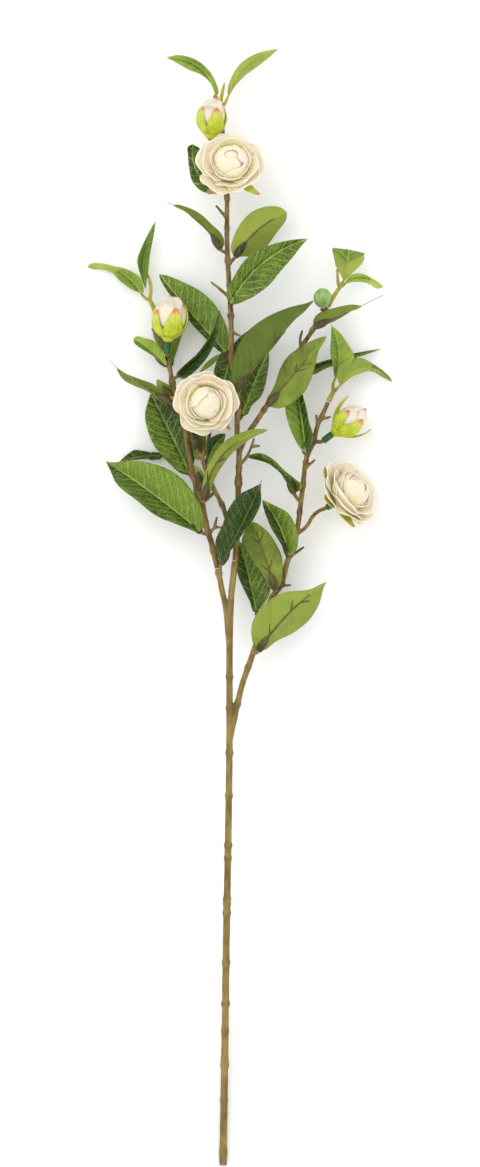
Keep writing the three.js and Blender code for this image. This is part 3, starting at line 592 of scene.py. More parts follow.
print("a quarter bend of 10 mm:", travel(smooth_line([(10, 0, 0), (7, 7, 0), (0, 10, 0)]))[-1].round(1), "mm")

# %% [markdown]
# ## Leaf blades
# A blade is a thin sheet that follows its midrib, which is a bowed line from base to tip. The
# stamped leaves differ, so each half is given a few widths along its length, as a tailor would
# measure them from above, and a smooth edge runs through them. Each half leans up or down from the
# midrib, and the cloth puffs up a little between its side veins. A modelled sheet keeps the exact
# edge of each leaf, which a simulated cloth would not.

# %% The outline and the midrib
EDGE_SHARES = (0.06, 0.2, 0.4, 0.6, 0.8, 0.94)  # where along its length the widths of a half are given
EDGE_ENDS = (0.3, 0.1)  # the width of a half at its base and at its tip
EDGE_STEP = 0.5
NARROWEST = 0.25
MIDRIB_PLACES = 240


def ease(value, low, high):
    """A smooth step from 0 to 1 while value goes from low to high."""
    share = np.clip((value - low) / (high - low), 0, 1)
    return share * share * (3 - 2 * share)


def edge(share, length, widths):
    """The width of a half, seen from above, at shares of its length."""
    given = zip(np.array(EDGE_SHARES) * length, widths)
    line = smooth_line([(0, EDGE_ENDS[0]), *given, (length, EDGE_ENDS[1])], EDGE_STEP)
    return np.maximum(np.interp(share * length, line[:, 0], line[:, 1]), NARROWEST)


def midrib(shape):
    """Places along a leaf's midrib, and how far along it each of them is."""
    start, end = place(shape["base"]), place(shape["tip"])
    left = unit(np.cross(UP, end - start))
    middle = (start + end) / 2 + left * 2 * shape["bow"] + UP * 2 * shape["arch"]
    time = np.linspace(0, 1, MIDRIB_PLACES)[:, None]
    line = (1 - time) ** 2 * start + 2 * (1 - time) * time * middle + time**2 * end
    return line, travel(line)


def along_line(line, travelled, distance):
    """The places at distances along a line."""
    return np.column_stack([np.interp(distance, travelled, line[:, axis]) for axis in range(3)])


print("a half 10 mm wide at its middle:", edge(np.array([0.1, 0.5, 0.9]), 80, (4, 8, 10, 9, 6, 2)).round(1))

# %% The blade
CLOTH = 0.5  # thickness of the cloth, in millimetres
BLADE_START = 0.015  # share of the midrib before the blade starts
ROW = 1.5
FEWEST_ROWS = 12
AHEAD = 0.5  # how far before and behind a row the way of the midrib is measured
COLUMNS = 11  # from the midrib to an edge
COLUMN_SPREAD = 1.15  # above 1, columns lie closer by the midrib
SIDES = (-1, 1)  # the right half and the left half, seen from above with the tip upwards
CREASE = 0.1  # share of a half over which it bends up from the midrib
CUP = 0.2  # how much steeper a half is by the midrib, and how much flatter at its edge
STEEPEST = 0.4  # least share of a half that is seen from above
EDGE_WAVE = 0.7
WAVE_LENGTH = 44
WAVE_LAG = 1.3  # how far the waves of one edge are behind those of the midrib
PUFF = 0.28
PUFF_ROUND = 0.8  # below 1, the puffs are rounder than a plain wave
PUFF_START = 3  # how far from the midrib the cloth puffs fully
BEHIND = 0.3  # how far behind the cloth its socket is kept
NEARBY = 7.0
TONE_BLEND = 0.15  # share of a half over which the two halves' tones meet, each with the painted light and shade of its folded half


class Blade:
    """The middle surface of a leaf, as a grid of rows from base to tip and columns from edge to edge."""

    def __init__(self, shape, first=BLADE_START):
        self.shape = shape
        self.top = -1 if shape["under"] else 1
        line, travelled = midrib(shape)
        self.length = travelled[-1]
        even = np.linspace(0, 1, max(FEWEST_ROWS, round(self.length / ROW)) + 1)
        eased = (1 - np.cos(even * math.pi)) / 2  # rows lie closer towards both ends
        self.share = first + (1 - first) * (even + eased) / 2
        self.out = np.linspace(0, 1, COLUMNS + 1) ** COLUMN_SPREAD
        self.across = np.concatenate([-self.out[:0:-1], self.out])
        self.centre = along_line(line, travelled, self.share * self.length)
        ahead = along_line(line, travelled, self.share * self.length + AHEAD)
        behind = along_line(line, travelled, self.share * self.length - AHEAD)
        tangent = unit(ahead - behind)
        left = unit(np.cross(UP, tangent))
        self.lay(left, np.cross(tangent, left))
        self.wave()

    def lean(self, widths):
        """The slopes of both halves, by row and by step outwards, in radians."""
        between = (self.out[1:] + self.out[:-1]) / 2
        crease = np.minimum(1, between / CREASE) * (1 + CUP * (1 - 2 * between))
        widest = max(widths, key=np.max)
        lift = self.shape["fold"] * self.top * np.minimum(1, 2 * widest / widest.max())
        low, high = self.shape["roll"]
        roll = low + (high - low) * self.share
        return {side: np.radians(side * roll[:, None] + lift[:, None] * crease) for side in SIDES}

    def half(self, side, slope, reach, left, normal):
        """One half, from the midrib outwards: its places, its faces and how far out they are."""
        sin, cos = np.sin(slope)[..., None], np.cos(slope)[..., None]
        outward = side * left[:, None] * cos + normal[:, None] * sin
        steps = outward * (np.diff(self.out) * reach[:, None])[..., None]
        face = normal[:, None] * cos - side * left[:, None] * sin
        return self.centre[:, None] + np.cumsum(steps, axis=1), face, self.out[1:] * reach[:, None] * side

    def lay(self, left, normal):
        """Lays both halves out from the midrib."""
        seen = {side: edge(self.share, self.length, self.shape[name])
                for side, name in zip(SIDES, ("right", "left")) if self.shape[name]}
        slopes = self.lean(list(seen.values()))
        reach = {side: width / np.maximum(np.sum(np.cos(slopes[side]) * np.diff(self.out), axis=1), STEEPEST)
                 for side, width in seen.items()}
        for side in SIDES:  # a half that is folded out of sight is as wide as the other
            reach.setdefault(side, reach.get(-side))
        rights, lefts = (self.half(side, slopes[side], reach[side], left, normal) for side in SIDES)
        middle_face = unit(rights[1][:, :1] + lefts[1][:, :1])
        middles = (self.centre[:, None], middle_face, np.zeros((len(self.share), 1)))
        self.surface, self.face, self.reach = (
            np.concatenate([right[:, ::-1], middle, other], axis=1)
            for right, middle, other in zip(rights, middles, lefts))
        self.span = np.broadcast_to((self.share * self.length)[:, None], self.reach.shape)

    def wave(self):
        """Waves the edges, and puffs the cloth between its side veins."""
        side = np.sign(self.across)
        turn = self.span * 2 * math.pi / WAVE_LENGTH + side * WAVE_LAG + self.shape["base"][0]
        rise = EDGE_WAVE * np.sin(turn) * np.abs(self.across) ** 2
        away = np.abs(self.reach)
        start = self.span - VEIN_SLANT * away - VEIN_BEND * away**2
        puff = np.abs(np.sin(math.pi * (start / VEIN_SPACING + side * VEIN_OFFSET - 0.5))) ** PUFF_ROUND
        rise += self.top * PUFF * puff * np.minimum(1, away / PUFF_START) * (1 - np.abs(self.across) ** 6)
        self.surface = self.surface + self.face * rise[..., None]

    def at(self, share, across):
        """The place and the face of the blade at a share of its length and of its half width."""
        row = np.interp(share, self.share, np.arange(len(self.share)))
        column = np.interp(across, self.across, np.arange(len(self.across)))
        low_row = int(min(row, len(self.share) - 2))
        low_column = int(min(column, len(self.across) - 2))
        down, along = row - low_row, column - low_column
        found = []
        for grid in (self.surface, self.face):
            near = grid[low_row, low_column] * (1 - along) + grid[low_row, low_column + 1] * along
            far = grid[low_row + 1, low_column] * (1 - along) + grid[low_row + 1, low_column + 1] * along
            found.append(near * (1 - down) + far * down)
        return found[0], unit(found[1])

    def keep_behind(self, points):
        """Moves points that come through the cloth from its back, so that they stay just behind it."""
        surface, face = self.surface.reshape(-1, 3), self.face.reshape(-1, 3)
        gaps = np.linalg.norm(points[:, None] - surface[None], axis=2)
        nearest = gaps.argmin(axis=1)
        above = np.sum((points - surface[nearest]) * face[nearest], axis=1) * self.top
        deep = np.where(gaps.min(axis=1) < NEARBY, np.maximum(0, above + BEHIND), 0)
        return points - face[nearest] * (self.top * deep)[:, None]

    def add_to(self, piece, top, back):
        """Adds the blade to a piece, with one finish on its top and another on its back."""
        front, rear, rim = sheet_faces(*self.reach.shape)
        sides = (back, top) if self.shape["under"] else (top, back)
        turned = np.repeat(self.share[1:] > self.shape["turned_at"], len(self.across) - 1)
        finishes = [sides[flip] for flip in turned] + [sides[not flip] for flip in turned]
        half = self.face * CLOTH / 2
        across = np.broadcast_to(self.across, self.reach.shape)
        # tone runs across the midrib from one half's value to the other's; where they differ, it is painted
        # light and shade, one half painted as turned to the light and the other as turned away
        values = {"along": np.broadcast_to(self.share[:, None], self.reach.shape), "across": across,
                  "span": self.span, "reach": self.reach,
                  "tone": np.interp(across, (-TONE_BLEND, TONE_BLEND), self.shape["tone"][::-1])}
        twice = {name: np.tile(grid.ravel(), 2) for name, grid in values.items()}
        piece.add(np.concatenate([self.surface + half, self.surface - half]), front + rear + rim,
                  finishes + [back] * len(rim), **twice)


USUAL_LEAF = dict(bow=0, arch=0, roll=(0, 0), fold=0, under=False, tone=(0.5, 0.5), rib_from=0.02, rib_to=0.7,
                  spurs=(), turned_at=2, thread=None, socket=None, curls=(), young=False)


def leaf_shape(base, tip, **shape):
    """The measures of a leaf, with what most of them share filled in."""
    return {**USUAL_LEAF, "base": base, "tip": tip, **shape}


trial = Blade(leaf_shape((0, 0, 0), (0, 80, 0), left=(6, 12, 16, 14, 8, 3), right=(6, 12, 16, 14, 8, 3)))
print("a blade 80 mm long has", trial.surface.shape[:2], "rows and columns")

# %% [markdown]
# ## Grown leaves
# On the back of each blade lies a moulded rib with short side spurs, and at its base a bulb-shaped
# socket takes the twig. The rib, the spurs and the socket are rods of changing thickness, so the
# rod tree makes them all at once. Their lines are taken from the blade itself, so they lie on the
# cloth wherever it bends. Four leaves end in a loose thread, and two have a lobe that curls over.

# %% Rib, spurs and socket
SOCKET_LENGTH = 15
SOCKET_RISE = 2.7
SOCKET_PROFILE = [(0, 2.0), (0.05, 2.5), (0.25, 3.1), (0.5, 3.3), (0.7, 2.7), (0.85, 1.8), (1, 0.9)]
SOCKET_PLACES = 20
RIB_RADIUS = (1.0, 0.45)
RIB_RISE = 0.7  # how far the middle of the rib lies off the cloth
RIB_START = 0.6  # where the rib starts, as a share of the socket's length
RIB_PLACES = 24
SPUR_RADIUS = (0.7, 0.25)
SPUR_RISE = 0.8  # how far a spur lies off the cloth, as a share of the rib's rise
SPUR_LENGTH = 8.5
SPUR_TURN = math.radians(38)  # from the rib
SPUR_PLACES = 8
SPUR_REACH = 0.95  # no spur comes nearer to the edge than this share of its half
THREAD = 0.22


def socket_line(shape):
    """The two ends of a leaf's socket: its mouth, and where it meets the rib."""
    if shape["socket"]:
        return place(shape["socket"][0]), place(shape["socket"][1])
    line, travelled = midrib(shape)
    back = 1 if shape["under"] else -1
    mouth = place(shape["base"]) + UP * back * SOCKET_RISE
    end = along_line(line, travelled, [SOCKET_LENGTH])[0] + UP * back
    return mouth, mouth + unit(end - mouth) * SOCKET_LENGTH


def on_back(blade, share, across, height):
    """A place over the back of a blade."""
    surface, face = blade.at(share, across)
    return surface - face * blade.top * height


def rib_chains(blade, start_share, radius=RIB_RADIUS, rise=RIB_RISE):
    """The rib and its spurs as lines for the rod tree."""
    shape = blade.shape
    shares = np.linspace(start_share, shape["rib_to"], RIB_PLACES)
    chains = [([on_back(blade, share, 0, rise) for share in shares], np.linspace(*radius, RIB_PLACES))]
    for share, side in shape["spurs"]:
        chain = []
        for length in np.linspace(0, SPUR_LENGTH, SPUR_PLACES):
            run = share + length * math.cos(SPUR_TURN) / blade.length
            width = np.interp(run, blade.share, np.abs(blade.reach[:, -1 if side > 0 else 0]))
            across = side * min(SPUR_REACH, length * math.sin(SPUR_TURN) / max(width, 1))
            chain.append(on_back(blade, run, across, rise * SPUR_RISE))
        chains.append((chain, np.linspace(*SPUR_RADIUS, SPUR_PLACES)))
    return chains


def grow_leaf(name, shape):
    """A leaf with its rib, its spurs and its socket."""
    blade = Blade(shape)
    piece = Piece("leaf_" + name + "_cloth")
    cloths = (young_top, young_back) if shape["young"] else (leaf_top, leaf_back)
    blade.add_to(piece, *cloths)
    for curl in shape["curls"]:
        Blade(curl).add_to(piece, *cloths)
    chains = rib_chains(blade, RIB_START * SOCKET_LENGTH / blade.length)
    if shape["thread"]:
        loose_end = blade.surface[-3, COLUMNS]
        chains.append((smooth_line([loose_end, place(shape["thread"])]), THREAD))
    piece.add_mesh(rods(chains, rib_plastic, step=0.8, sides=8), rib_plastic)
    mouth, end = socket_line(shape)
    shares = np.linspace(0, 1, SOCKET_PLACES)
    bulb = mouth + (end - mouth) * shares[:, None]
    radii = np.interp(shares, *np.array(SOCKET_PROFILE).T)
    socket = rods([(bulb, radii)], socket_plastic, step=0.8, sides=12, roughness=0.5, lump=2.5)
    piece.add_mesh(socket, socket_plastic)
    piece.points[-1] = blade.keep_behind(piece.points[-1])
    return piece.make("leaf_fabric", "leaf_" + name)


print("a socket is", SOCKET_LENGTH, "mm long")

# %% [markdown]
# ## The leaves, one by one
# No rule places the leaves of a real spray, so each has a row of its own, named for the branch that
# carries it. A row gives where its twig leaves the branch, its base and its tip, the widths of its
# two halves, and then how it is bowed, arched, rolled and folded. A half of None is folded out of
# sight. "under" leaves show their backs, and "young" ones are of lighter cloth. "tone" runs from 0,
# dark, to 1, light, for the left and the right half. It varies from leaf to leaf as the print does,
# and where the two halves of a leaf differ, that is painted light and shade: one half is painted as
# turned to the light and the other as turned away. "thread" is where a loose thread ends, "curls"
# are lobes of their own, and "socket" gives the place of a socket.

# %% Leaf table
LEAVES = {}


def leaf(name, branch, twig, base, tip, **shape):
    """Adds a row to the leaf table."""
    LEAVES[name] = {**leaf_shape(base, tip, **shape), "branch": branch, "twig": twig}


leaf("center_1", "center", twig=(0, 776, 36), base=(-6.4, 780, 30), tip=(-26.4, 815.6, 25), bow=7.8, fold=10,
     left=(5.5, 8, 7.5, 4.5, 3.5, 4), right=(5.5, 9, 10, 9.5, 8, 5.5), tone=(0.25, 0.2),
     curls=[leaf_shape((-5.6, 778.2, 34), (-15.2, 777.6, 33), left=(2, 2.2, 2.2, 2.2, 2.2, 2),
                       right=(1.6, 2, 2.2, 2.2, 2.2, 2), under=True, tone=(0.9, 0.9))])
leaf("center_2", "center", twig=(1.6, 728, 37), base=(-4, 731.2, 41), tip=(-42.4, 766.8, 32), bow=-4.7,
     left=None, right=(4.5, 6.5, 5.5, 5.5, 3.5, 2), roll=(-28, -28), fold=62, under=True, tone=(0.5, 0.4),
     thread=(-47.2, 769.6, 31))
leaf("center_3", "center", twig=(1.6, 718, 37), base=(7.2, 725.2, 40), tip=(48.4, 761.2, 34), bow=4.5,
     left=(6, 9.5, 13, 14, 11, 6), right=(4, 10.5, 14, 13.5, 9.5, 5.5), roll=(17, 17), fold=30, under=True,
     rib_to=0.8, tone=(1, 0.95))
leaf("center_4", "center", twig=(4, 674, 38), base=(3.2, 687.2, 45), tip=(64.8, 740, 32), bow=8.4,
     left=(5.5, 9, 11, 8.5, 5, 1.5), right=(6.5, 13, 16.5, 14, 9, 3), roll=(17, 17), fold=30,
     tone=(0.55, 0.5))
leaf("center_5", "center", twig=(4, 640, 38), base=(0.8, 648.8, 31), tip=(-53, 712, 12), bow=0.6,
     left=(3, 5, 5, 4, 4, 2), right=(7.5, 14.5, 18, 17, 10.5, 4), roll=(-30, -30), fold=-20,
     tone=(0.15, 0.6))
leaf("center_6", "center", twig=(9.6, 606, 39), base=(8.8, 618.8, 46), tip=(69.2, 690, 50), bow=2.1, arch=4,
     left=(9.5, 17.5, 22, 19, 11, 2.5), right=(3.5, 3.5, 2.5, 2, 1, 0.4), roll=(38, 38), fold=45, under=True,
     rib_to=0.66, spurs=((0.2, 1), (0.52, 1), (0.58, -1)), tone=(0.05, 0.05))
leaf("center_7", "center", twig=(5, 642, 37), base=(8, 646.4, 33), tip=(32, 674.4, 26), bow=1.4,
     left=(3, 6.5, 6, 4.5, 3.5, 1.5), right=(2, 4.5, 6.5, 7, 5, 2.5), fold=15, tone=(0.1, 0.1))
leaf("center_8", "center", twig=(5, 658, 37.8), base=(4.8, 650.4, 22.5), tip=(-8, 608.8, 14), bow=0.8,
     left=(3, 6, 8, 8.5, 7, 4), right=(7.5, 10, 10, 8.5, 6.5, 3), roll=(10, 10), fold=15, tone=(0.4, 0.3),
     curls=[leaf_shape((-4.4, 648.4, 24), (-21, 634, 18), left=(0.8, 1.6, 2.2, 2.2, 1.6, 0.6),
                       right=(0.8, 1.6, 2.2, 2.2, 1.6, 0.6), under=True, tone=(0.8, 0.8))])
leaf("center_9", "center", twig=(9, 594, 38), base=(12.8, 599.2, 33), tip=(33.6, 649.6, 22), bow=0.9,
     left=(3.5, 6.5, 7.5, 7, 5, 2.5), right=(4, 4.5, 8.5, 8.5, 6, 2.5), roll=(22, 22), fold=-22,
     tone=(0.2, 0.4))
leaf("center_10", "stem", twig=(-4, 466, 35), base=(-4, 480.4, 44), tip=(27.6, 544.4, 54), bow=-1.1,
     left=(5, 12.5, 14, 15, 12, 4), right=(0.6, 1.5, 3, 6.5, 6.5, 1.5), roll=(-15, -15), fold=38,
     tone=(-0.1, -0.25), thread=(28.4, 547.6, 54.5))
leaf("upper_1", "center", twig=(29, 602, 36), base=(32.8, 606.8, 43), tip=(80, 662, 42), arch=3,
     left=(4, 6, 11, 12.5, 9, 3.5), right=(8.5, 13.5, 15.5, 11, 3.5, 1.5), roll=(-8, -8), fold=36,
     under=True, rib_to=0.68, spurs=((0.48, 1), (0.5, -1), (0.58, -1)), tone=(0.4, 0.55))
leaf("upper_2", "center", twig=(65, 660, 26), base=(69.6, 669.2, 36), tip=(108.8, 686.8, 34),
     left=(5, 8.5, 8.5, 7, 4.5, 1.5), right=None, roll=(24, 24), fold=62, under=True, tone=(0.4, 0.4),
     thread=(125.6, 695.2, 31))
leaf("upper_3", "center", twig=(50, 636, 28), base=(64, 635.2, 15), tip=(124, 652.8, 4), bow=0.5,
     left=(2.5, 2.5, 2.5, 2.5, 1.2, 0.5), right=(5, 4, 2.4, 1.5, 1.5, 0.8), roll=(-5, -5), fold=55,
     tone=(0.1, 0.5))
leaf("left_1", "left", twig=(-46, 640, 18), base=(-47.2, 639.2, 22), tip=(-73.6, 661.2, 20), bow=-1.1,
     left=(1, 1.8, 2.4, 3.5, 4, 3), right=(2, 4, 6, 7, 4.5, 3), fold=20, young=True, tone=(0.3, 0.5))
leaf("left_2", "left", twig=(-42, 622, 20), base=(-44.4, 639.2, 10), tip=(-45.6, 692, 3), bow=0.6,
     left=(1.5, 5, 11.5, 13, 11, 6), right=(2, 5.5, 9.5, 13.5, 13.5, 8), fold=12, young=True,
     tone=(0.35, 0.3))
leaf("left_3", "left", twig=(-38, 610, 22), base=(-44, 608.8, 27), tip=(-87.2, 637.2, 22),
     left=(3, 3, 2.4, 4, 4.5, 2), right=(3.5, 3.5, 4.5, 2.8, 1, 0.5), roll=(5, 5), fold=55, under=True,
     tone=(0.4, 0.5), thread=(-93.2, 644, 21))
leaf("left_4", "left", twig=(-36, 602, 23), base=(-41.2, 611.6, 17), tip=(-55, 628.4, 15), bow=0.4,
     left=(1.5, 2.2, 2.8, 3.2, 3.4, 1.5), right=(3, 5, 5.5, 4.5, 2.5, 1), fold=10, under=True,
     tone=(0.7, 0.7))
leaf("left_5", "left", twig=(-43, 628, 20), base=(-38.4, 630.8, 27), tip=(-4.8, 682.8, 40), bow=-7.7,
     left=(3.5, 4.5, 3.2, 3, 2, 1.2), right=(4, 5, 5, 3, 1.2, 0.5), fold=60, tone=(-0.1, -0.1))
leaf("left_6", "left", twig=(-24, 544, 27.5), base=(-28.4, 552, 21), tip=(-60, 617.2, 10), bow=-0.3,
     left=(6.5, 11.5, 16, 15.5, 12, 4.5), right=(4, 11, 14, 15.5, 14, 7), roll=(12, 12), fold=16,
     tone=(0.45, 0.1))
leaf("left_7", "left", twig=(-26, 552, 26), base=(-51.6, 567.2, 8), tip=(-85.2, 562.4, 3), bow=-1.8,
     left=(1.5, 2.5, 2.5, 2, 1, 0.6), right=(1.5, 2, 4, 6, 3.5, 1.2), fold=20, tone=(0, 0))
leaf("left_8", "left", twig=(-14, 504, 32), base=(-19.6, 506, 34), tip=(-96, 562.8, 18), bow=-1.6,
     left=(4, 8, 12.5, 12, 9.5, 3.5), right=(10.5, 18.5, 23.5, 21.5, 13, 3), roll=(22, 22), fold=32,
     tone=(0.3, 0.85))
leaf("twig_1", "center", twig=(-20, 567, 40), base=(-21.6, 563.2, 36), tip=(-31.2, 607.2, 30), bow=-0.7,
     left=(3, 3.5, 4, 4, 3.5, 2), right=(3.5, 6.5, 9, 9, 7, 3), fold=5, under=True, tone=(0.2, 0.3),
     socket=((-23, 572.5, 38.7), (-27.6, 586.5, 36)))
leaf("twig_2", "center", twig=(-16, 553, 40), base=(-15.4, 556, 41), tip=(-0.4, 584.4, 40), bow=3.4,
     left=(0.6, 1.5, 4, 7, 5, 2), right=(0.8, 1.8, 3.5, 5, 4, 2), fold=40, tone=(-0.1, 0.4))
leaf("twig_3", "center", twig=(-9, 538, 40), base=(-17.6, 531.2, 50), tip=(33.2, 587.2, 54), bow=13.3, arch=3,
     left=(2.5, 4.5, 5, 6.5, 5, 2), right=(3.5, 4, 5.5, 4, 2.5, 1.5), fold=50, under=True,
     spurs=((0.2, 1), (0.4, -1)), tone=(0.7, 0.6))
leaf("twig_4", "center", twig=(-12, 544, 40), base=(-18.4, 540.8, 33), tip=(-24.8, 559.6, 28), bow=-0.4,
     left=(1, 2, 2.5, 2.5, 2, 1), right=(1, 2.5, 4, 4, 2.5, 1), fold=10, under=True, tone=(0.5, 0.9))
leaf("right_1", "right", twig=(62, 556, 24), base=(63.6, 568.4, 32), tip=(54.4, 631.2, 22), bow=-1,
     left=(3.5, 7.5, 11, 12, 9.5, 4.5), right=(4, 7.5, 5, 4, 3, 1.5), roll=(-15, -15), fold=42,
     tone=(0.75, 0.15))
leaf("right_2", "right", twig=(59, 530, 25), base=(57.2, 537.6, 28), tip=(16.4, 566.4, 24), bow=-7.5,
     left=(2.5, 3.5, 2, 1.5, 2, 1.2), right=(5.5, 3.5, 1.5, 3, 4, 2), roll=(12, 12), fold=58,
     tone=(0.1, 0.5), socket=((54.6, 536.6, 31), (49.2, 549.4, 31)))
leaf("right_3", "right", twig=(48, 478, 27), base=(50, 486.8, 35), tip=(29.2, 532, 33), bow=-3.4,
     left=(3, 4, 5.5, 6, 5, 2.5), right=(6, 10, 12, 11, 5, 1.5), roll=(11, 11), fold=48, tone=(-0.05, 0.7))
leaf("right_4", "right", twig=(42, 461, 28.4), base=(39.6, 460, 33), tip=(21.6, 514.4, 36), arch=3,
     left=(5, 5.5, 8.5, 11.5, 13.5, 7), right=(5.5, 9.5, 13, 12, 8.5, 3.5), fold=22, under=True,
     rib_to=0.86, spurs=((0.28, 1), (0.3, -1), (0.68, 1), (0.7, -1)), tone=(0.35, 0.6))
leaf("right_5", "stem", twig=(25.6, 424, 30.5), base=(24, 442.8, 25), tip=(10.8, 498.4, 16), bow=-0.9,
     left=(2, 4.5, 7, 8, 6, 3), right=(5.5, 13, 14.5, 10.5, 6.5, 3), fold=25, tone=(0.05, 0.4))
leaf("right_6", "stem", twig=(21, 409, 31), base=(25.6, 411.2, 41), tip=(80.4, 466.4, 38), bow=4.1, arch=2,
     left=(9, 17, 19, 14.5, 3.5, 1), right=(4.5, 7, 14, 15.5, 10.5, 2.5), roll=(22, 22), fold=30, under=True,
     rib_to=0.78, spurs=((0.2, 1), (0.53, 1), (0.66, -1)), tone=(0.75, 0.75))

for name, shape in LEAVES.items():
    grow_leaf(name, shape)
print("leaves:", len(LEAVES))

# %% [markdown]
# ## Stem and branches
# The stem and the branches are mouldings whose twigs, stubs and stalks all run into one another.
# Rods alone would leave sharp seams where they cross, so each moulding is remeshed into one skin
# after the rod tree has made it, and smoothed a little. Knobs are bulges in a rod's thickness, set
# where the real mouldings have their collars. Fine bark then comes from the finish.

# %% Stem and branch lines
STEM = [(-2.4, 0, 2.5), (-1, 90, 9.8), (0.4, 190, 17.9), (1.6, 252, 22.6), (2.8, 340, 29.3),
        (2.8, 412, 34.7), (4, 452, 37), (5.6, 468, 38), (7.2, 483, 38.5)]
LEFT_FORK = [(2.8, 412, 34.7), (0, 444, 35), (-3.2, 460, 35), (-6.4, 477, 34.5)]
RIGHT_FORK = [(3, 340, 29.3), (6.4, 356, 30.3), (12.8, 384, 31), (22.4, 412, 31), (28, 432, 30.5)]
CENTER_BRANCH = [(7.3, 483.4, 38.6), (8.8, 508, 39), (9.6, 532, 40), (10, 548, 40), (10.4, 572, 40),
                 (8.8, 585, 40), (9.6, 612, 39), (8, 630, 38), (4.8, 644, 38), (4, 676, 38), (3.2, 692, 37),
                 (1.6, 720, 37), (0.8, 740, 37), (0.8, 781, 35), (-1, 806, 26), (-3, 830, 18), (-3, 846, 16)]
BLOOM_TWIG = [(8, 494, 38.8), (0, 519, 40), (-3.2, 528, 40), (-10.4, 542, 40), (-16, 556, 40), (-20, 568, 40)]
UPPER_TWIG = [(10.4, 570, 40), (16, 582, 39), (23.2, 593, 38), (34.4, 610, 33), (47.2, 632, 28),
              (60.8, 655, 25), (72, 671, 24), (80.8, 685.6, 23)]
LEFT_BRANCH = [(-6.5, 477.5, 34.4), (-7.2, 480, 34.3), (-11.2, 496, 33), (-16, 512, 31), (-18.4, 526, 29.5),
               (-23.2, 540, 28), (-27.2, 556, 26), (-30.4, 572, 25), (-33.6, 596, 23.5), (-36, 604, 23),
               (-41.6, 620, 21), (-44.8, 636, 19), (-48, 652, 17), (-52.8, 668, 14), (-56, 681, 12)]
RIGHT_BRANCH = [(28.2, 432.4, 30.4), (36.8, 454, 29), (44, 464, 28), (48.8, 482, 27), (52.8, 494, 26),
                (56.8, 508, 25.5), (60, 532, 24.5), (62.4, 552, 24), (64, 564, 23.5), (69.6, 578, 22),
                (72.8, 590, 21.5), (75.2, 596, 21), (81.6, 610, 20)]
STUBS = {
    "center": [[(-8, 766.4, 38), (0, 757, 37)],
               [(-12, 705.6, 40), (-4, 699, 38), (2, 694, 37)],
               [(12.8, 661.6, 40), (4, 666, 38)],
               [(-4.8, 782, 37), (0.8, 773, 36)],
               [(22.4, 581, 45), (20.8, 576, 45), (16.8, 566.4, 43), (10.4, 559, 40)],
               [(27.2, 575, 46), (20.4, 574, 44.6)],
               [(60.8, 667.2, 29), (59.2, 660, 28), (60, 653, 25)]],
    "left": [[(-1.6, 509.6, 33), (-8.8, 509.6, 32), (-14, 504, 32)],
             [(-7.2, 518.4, 33), (-9.6, 508.6, 32)],
             [(-28, 531.2, 31), (-18.6, 526, 29.5)],
             [(-25.6, 529.6, 31), (-20.8, 526.4, 30)],
             [(-59.2, 668.8, 21), (-52.8, 660, 20), (-48, 652, 17)]],
    "right": [[(52, 464, 29), (43, 463, 28)],
              [(62.4, 494.4, 27), (50.5, 486, 26.6)],
              [(71.2, 564, 25), (63, 557, 23.7)],
              [(72, 600, 23), (73, 590, 21.4)],
              [(84, 598.4, 22), (75.4, 596, 21)]],
}
print("stubs:", sum(len(stubs) for stubs in STUBS.values()))

# %% [markdown]
# ## Where the blooms and buds are
# Each bloom and bud sits at a place, faces some way, and is turned about its own axis. Its stalk
# leaves the branch and runs through the places given. Each sepal has a length, a width and a
# flare, which is how much less than the others it bends up towards the flower.

# %% Bloom and bud table
BLOOMS = {
    "bloom_1": dict(branch="center", place=(3.2, 794.5, 45), facing=(0.02, 0.46, 0.89), spin=58,
                    size=1.05, stalk=[(0.8, 776, 35.5)], sleeve=False,
                    sepals=[(25, 9, 0.1), (19, 9, 0), (25, 9, 0.2), (32, 9, 0.3), (23, 8, 0.2)]),
    "bloom_2": dict(branch="center", place=(-16.5, 608, 45), facing=(0.03, 0.05, 1), spin=62, size=1.0,
                    stalk=[(-19, 564, 40), (-13, 586, 38)], sleeve=False,
                    sepals=[(20, 9, 0), (26, 8, 0.2), (23, 10, 0), (25.5, 8, 0.2), (26, 7, 0.2)]),
    "bloom_3": dict(branch="right", place=(91, 532.6, 22), facing=(0.70, 0.46, 0.55), spin=20, size=1.1,
                    stalk=[(56, 504, 25.7), (64, 510.4, 24), (69.6, 519.2, 20), (75, 523.5, 13)],
                    sleeve=True,
                    sepals=[(18, 11, 0), (22, 13, 0), (20, 15, 0), (23, 15, 0), (22, 11, 0)]),
}
BUDS = {
    "bud_1": dict(branch="center", place=(-12, 824.5, 38), facing=(0.05, 1, 0.08), spin=-36, size=1.1,
                  stalk=[(-0.2, 800, 28)], sleeve=False,
                  sepals=[(22, 12, 0), (33, 12, 0.9), (26, 10, 0), (21, 12, 0), (20.5, 14.5, 0)]),
    "bud_2": dict(branch="left", place=(-46, 663, 30), facing=(0.1, 1, 0.12), spin=-42, size=1.3,
                  stalk=[(-46.4, 644, 18), (-46, 648, 24)], sleeve=True,
                  sepals=[(23, 11, 0), (28, 10, 0.3), (22, 10, 0), (18, 11, 0), (20, 14, 0)]),
    "bud_3": dict(branch="right", place=(89.3, 587.8, 25), facing=(0.8, 0.6, 0.1), spin=1, size=1.1,
                  stalk=[(69.8, 578.6, 22)], sleeve=True,
                  sepals=[(29, 10, 0.6), (24, 10, 1.9), (18, 13, 0), (22, 15, 0), (22, 4, 1.7)]),
}
SMALL_BUD = dict(branch="center", place=(76.6, 685, 30), facing=(0.05, 1, 0.1), spin=0,
                 stalk=(79.5, 683.4, 23.4))
print("stalks to make:", len(BLOOMS) + len(BUDS) + 1)

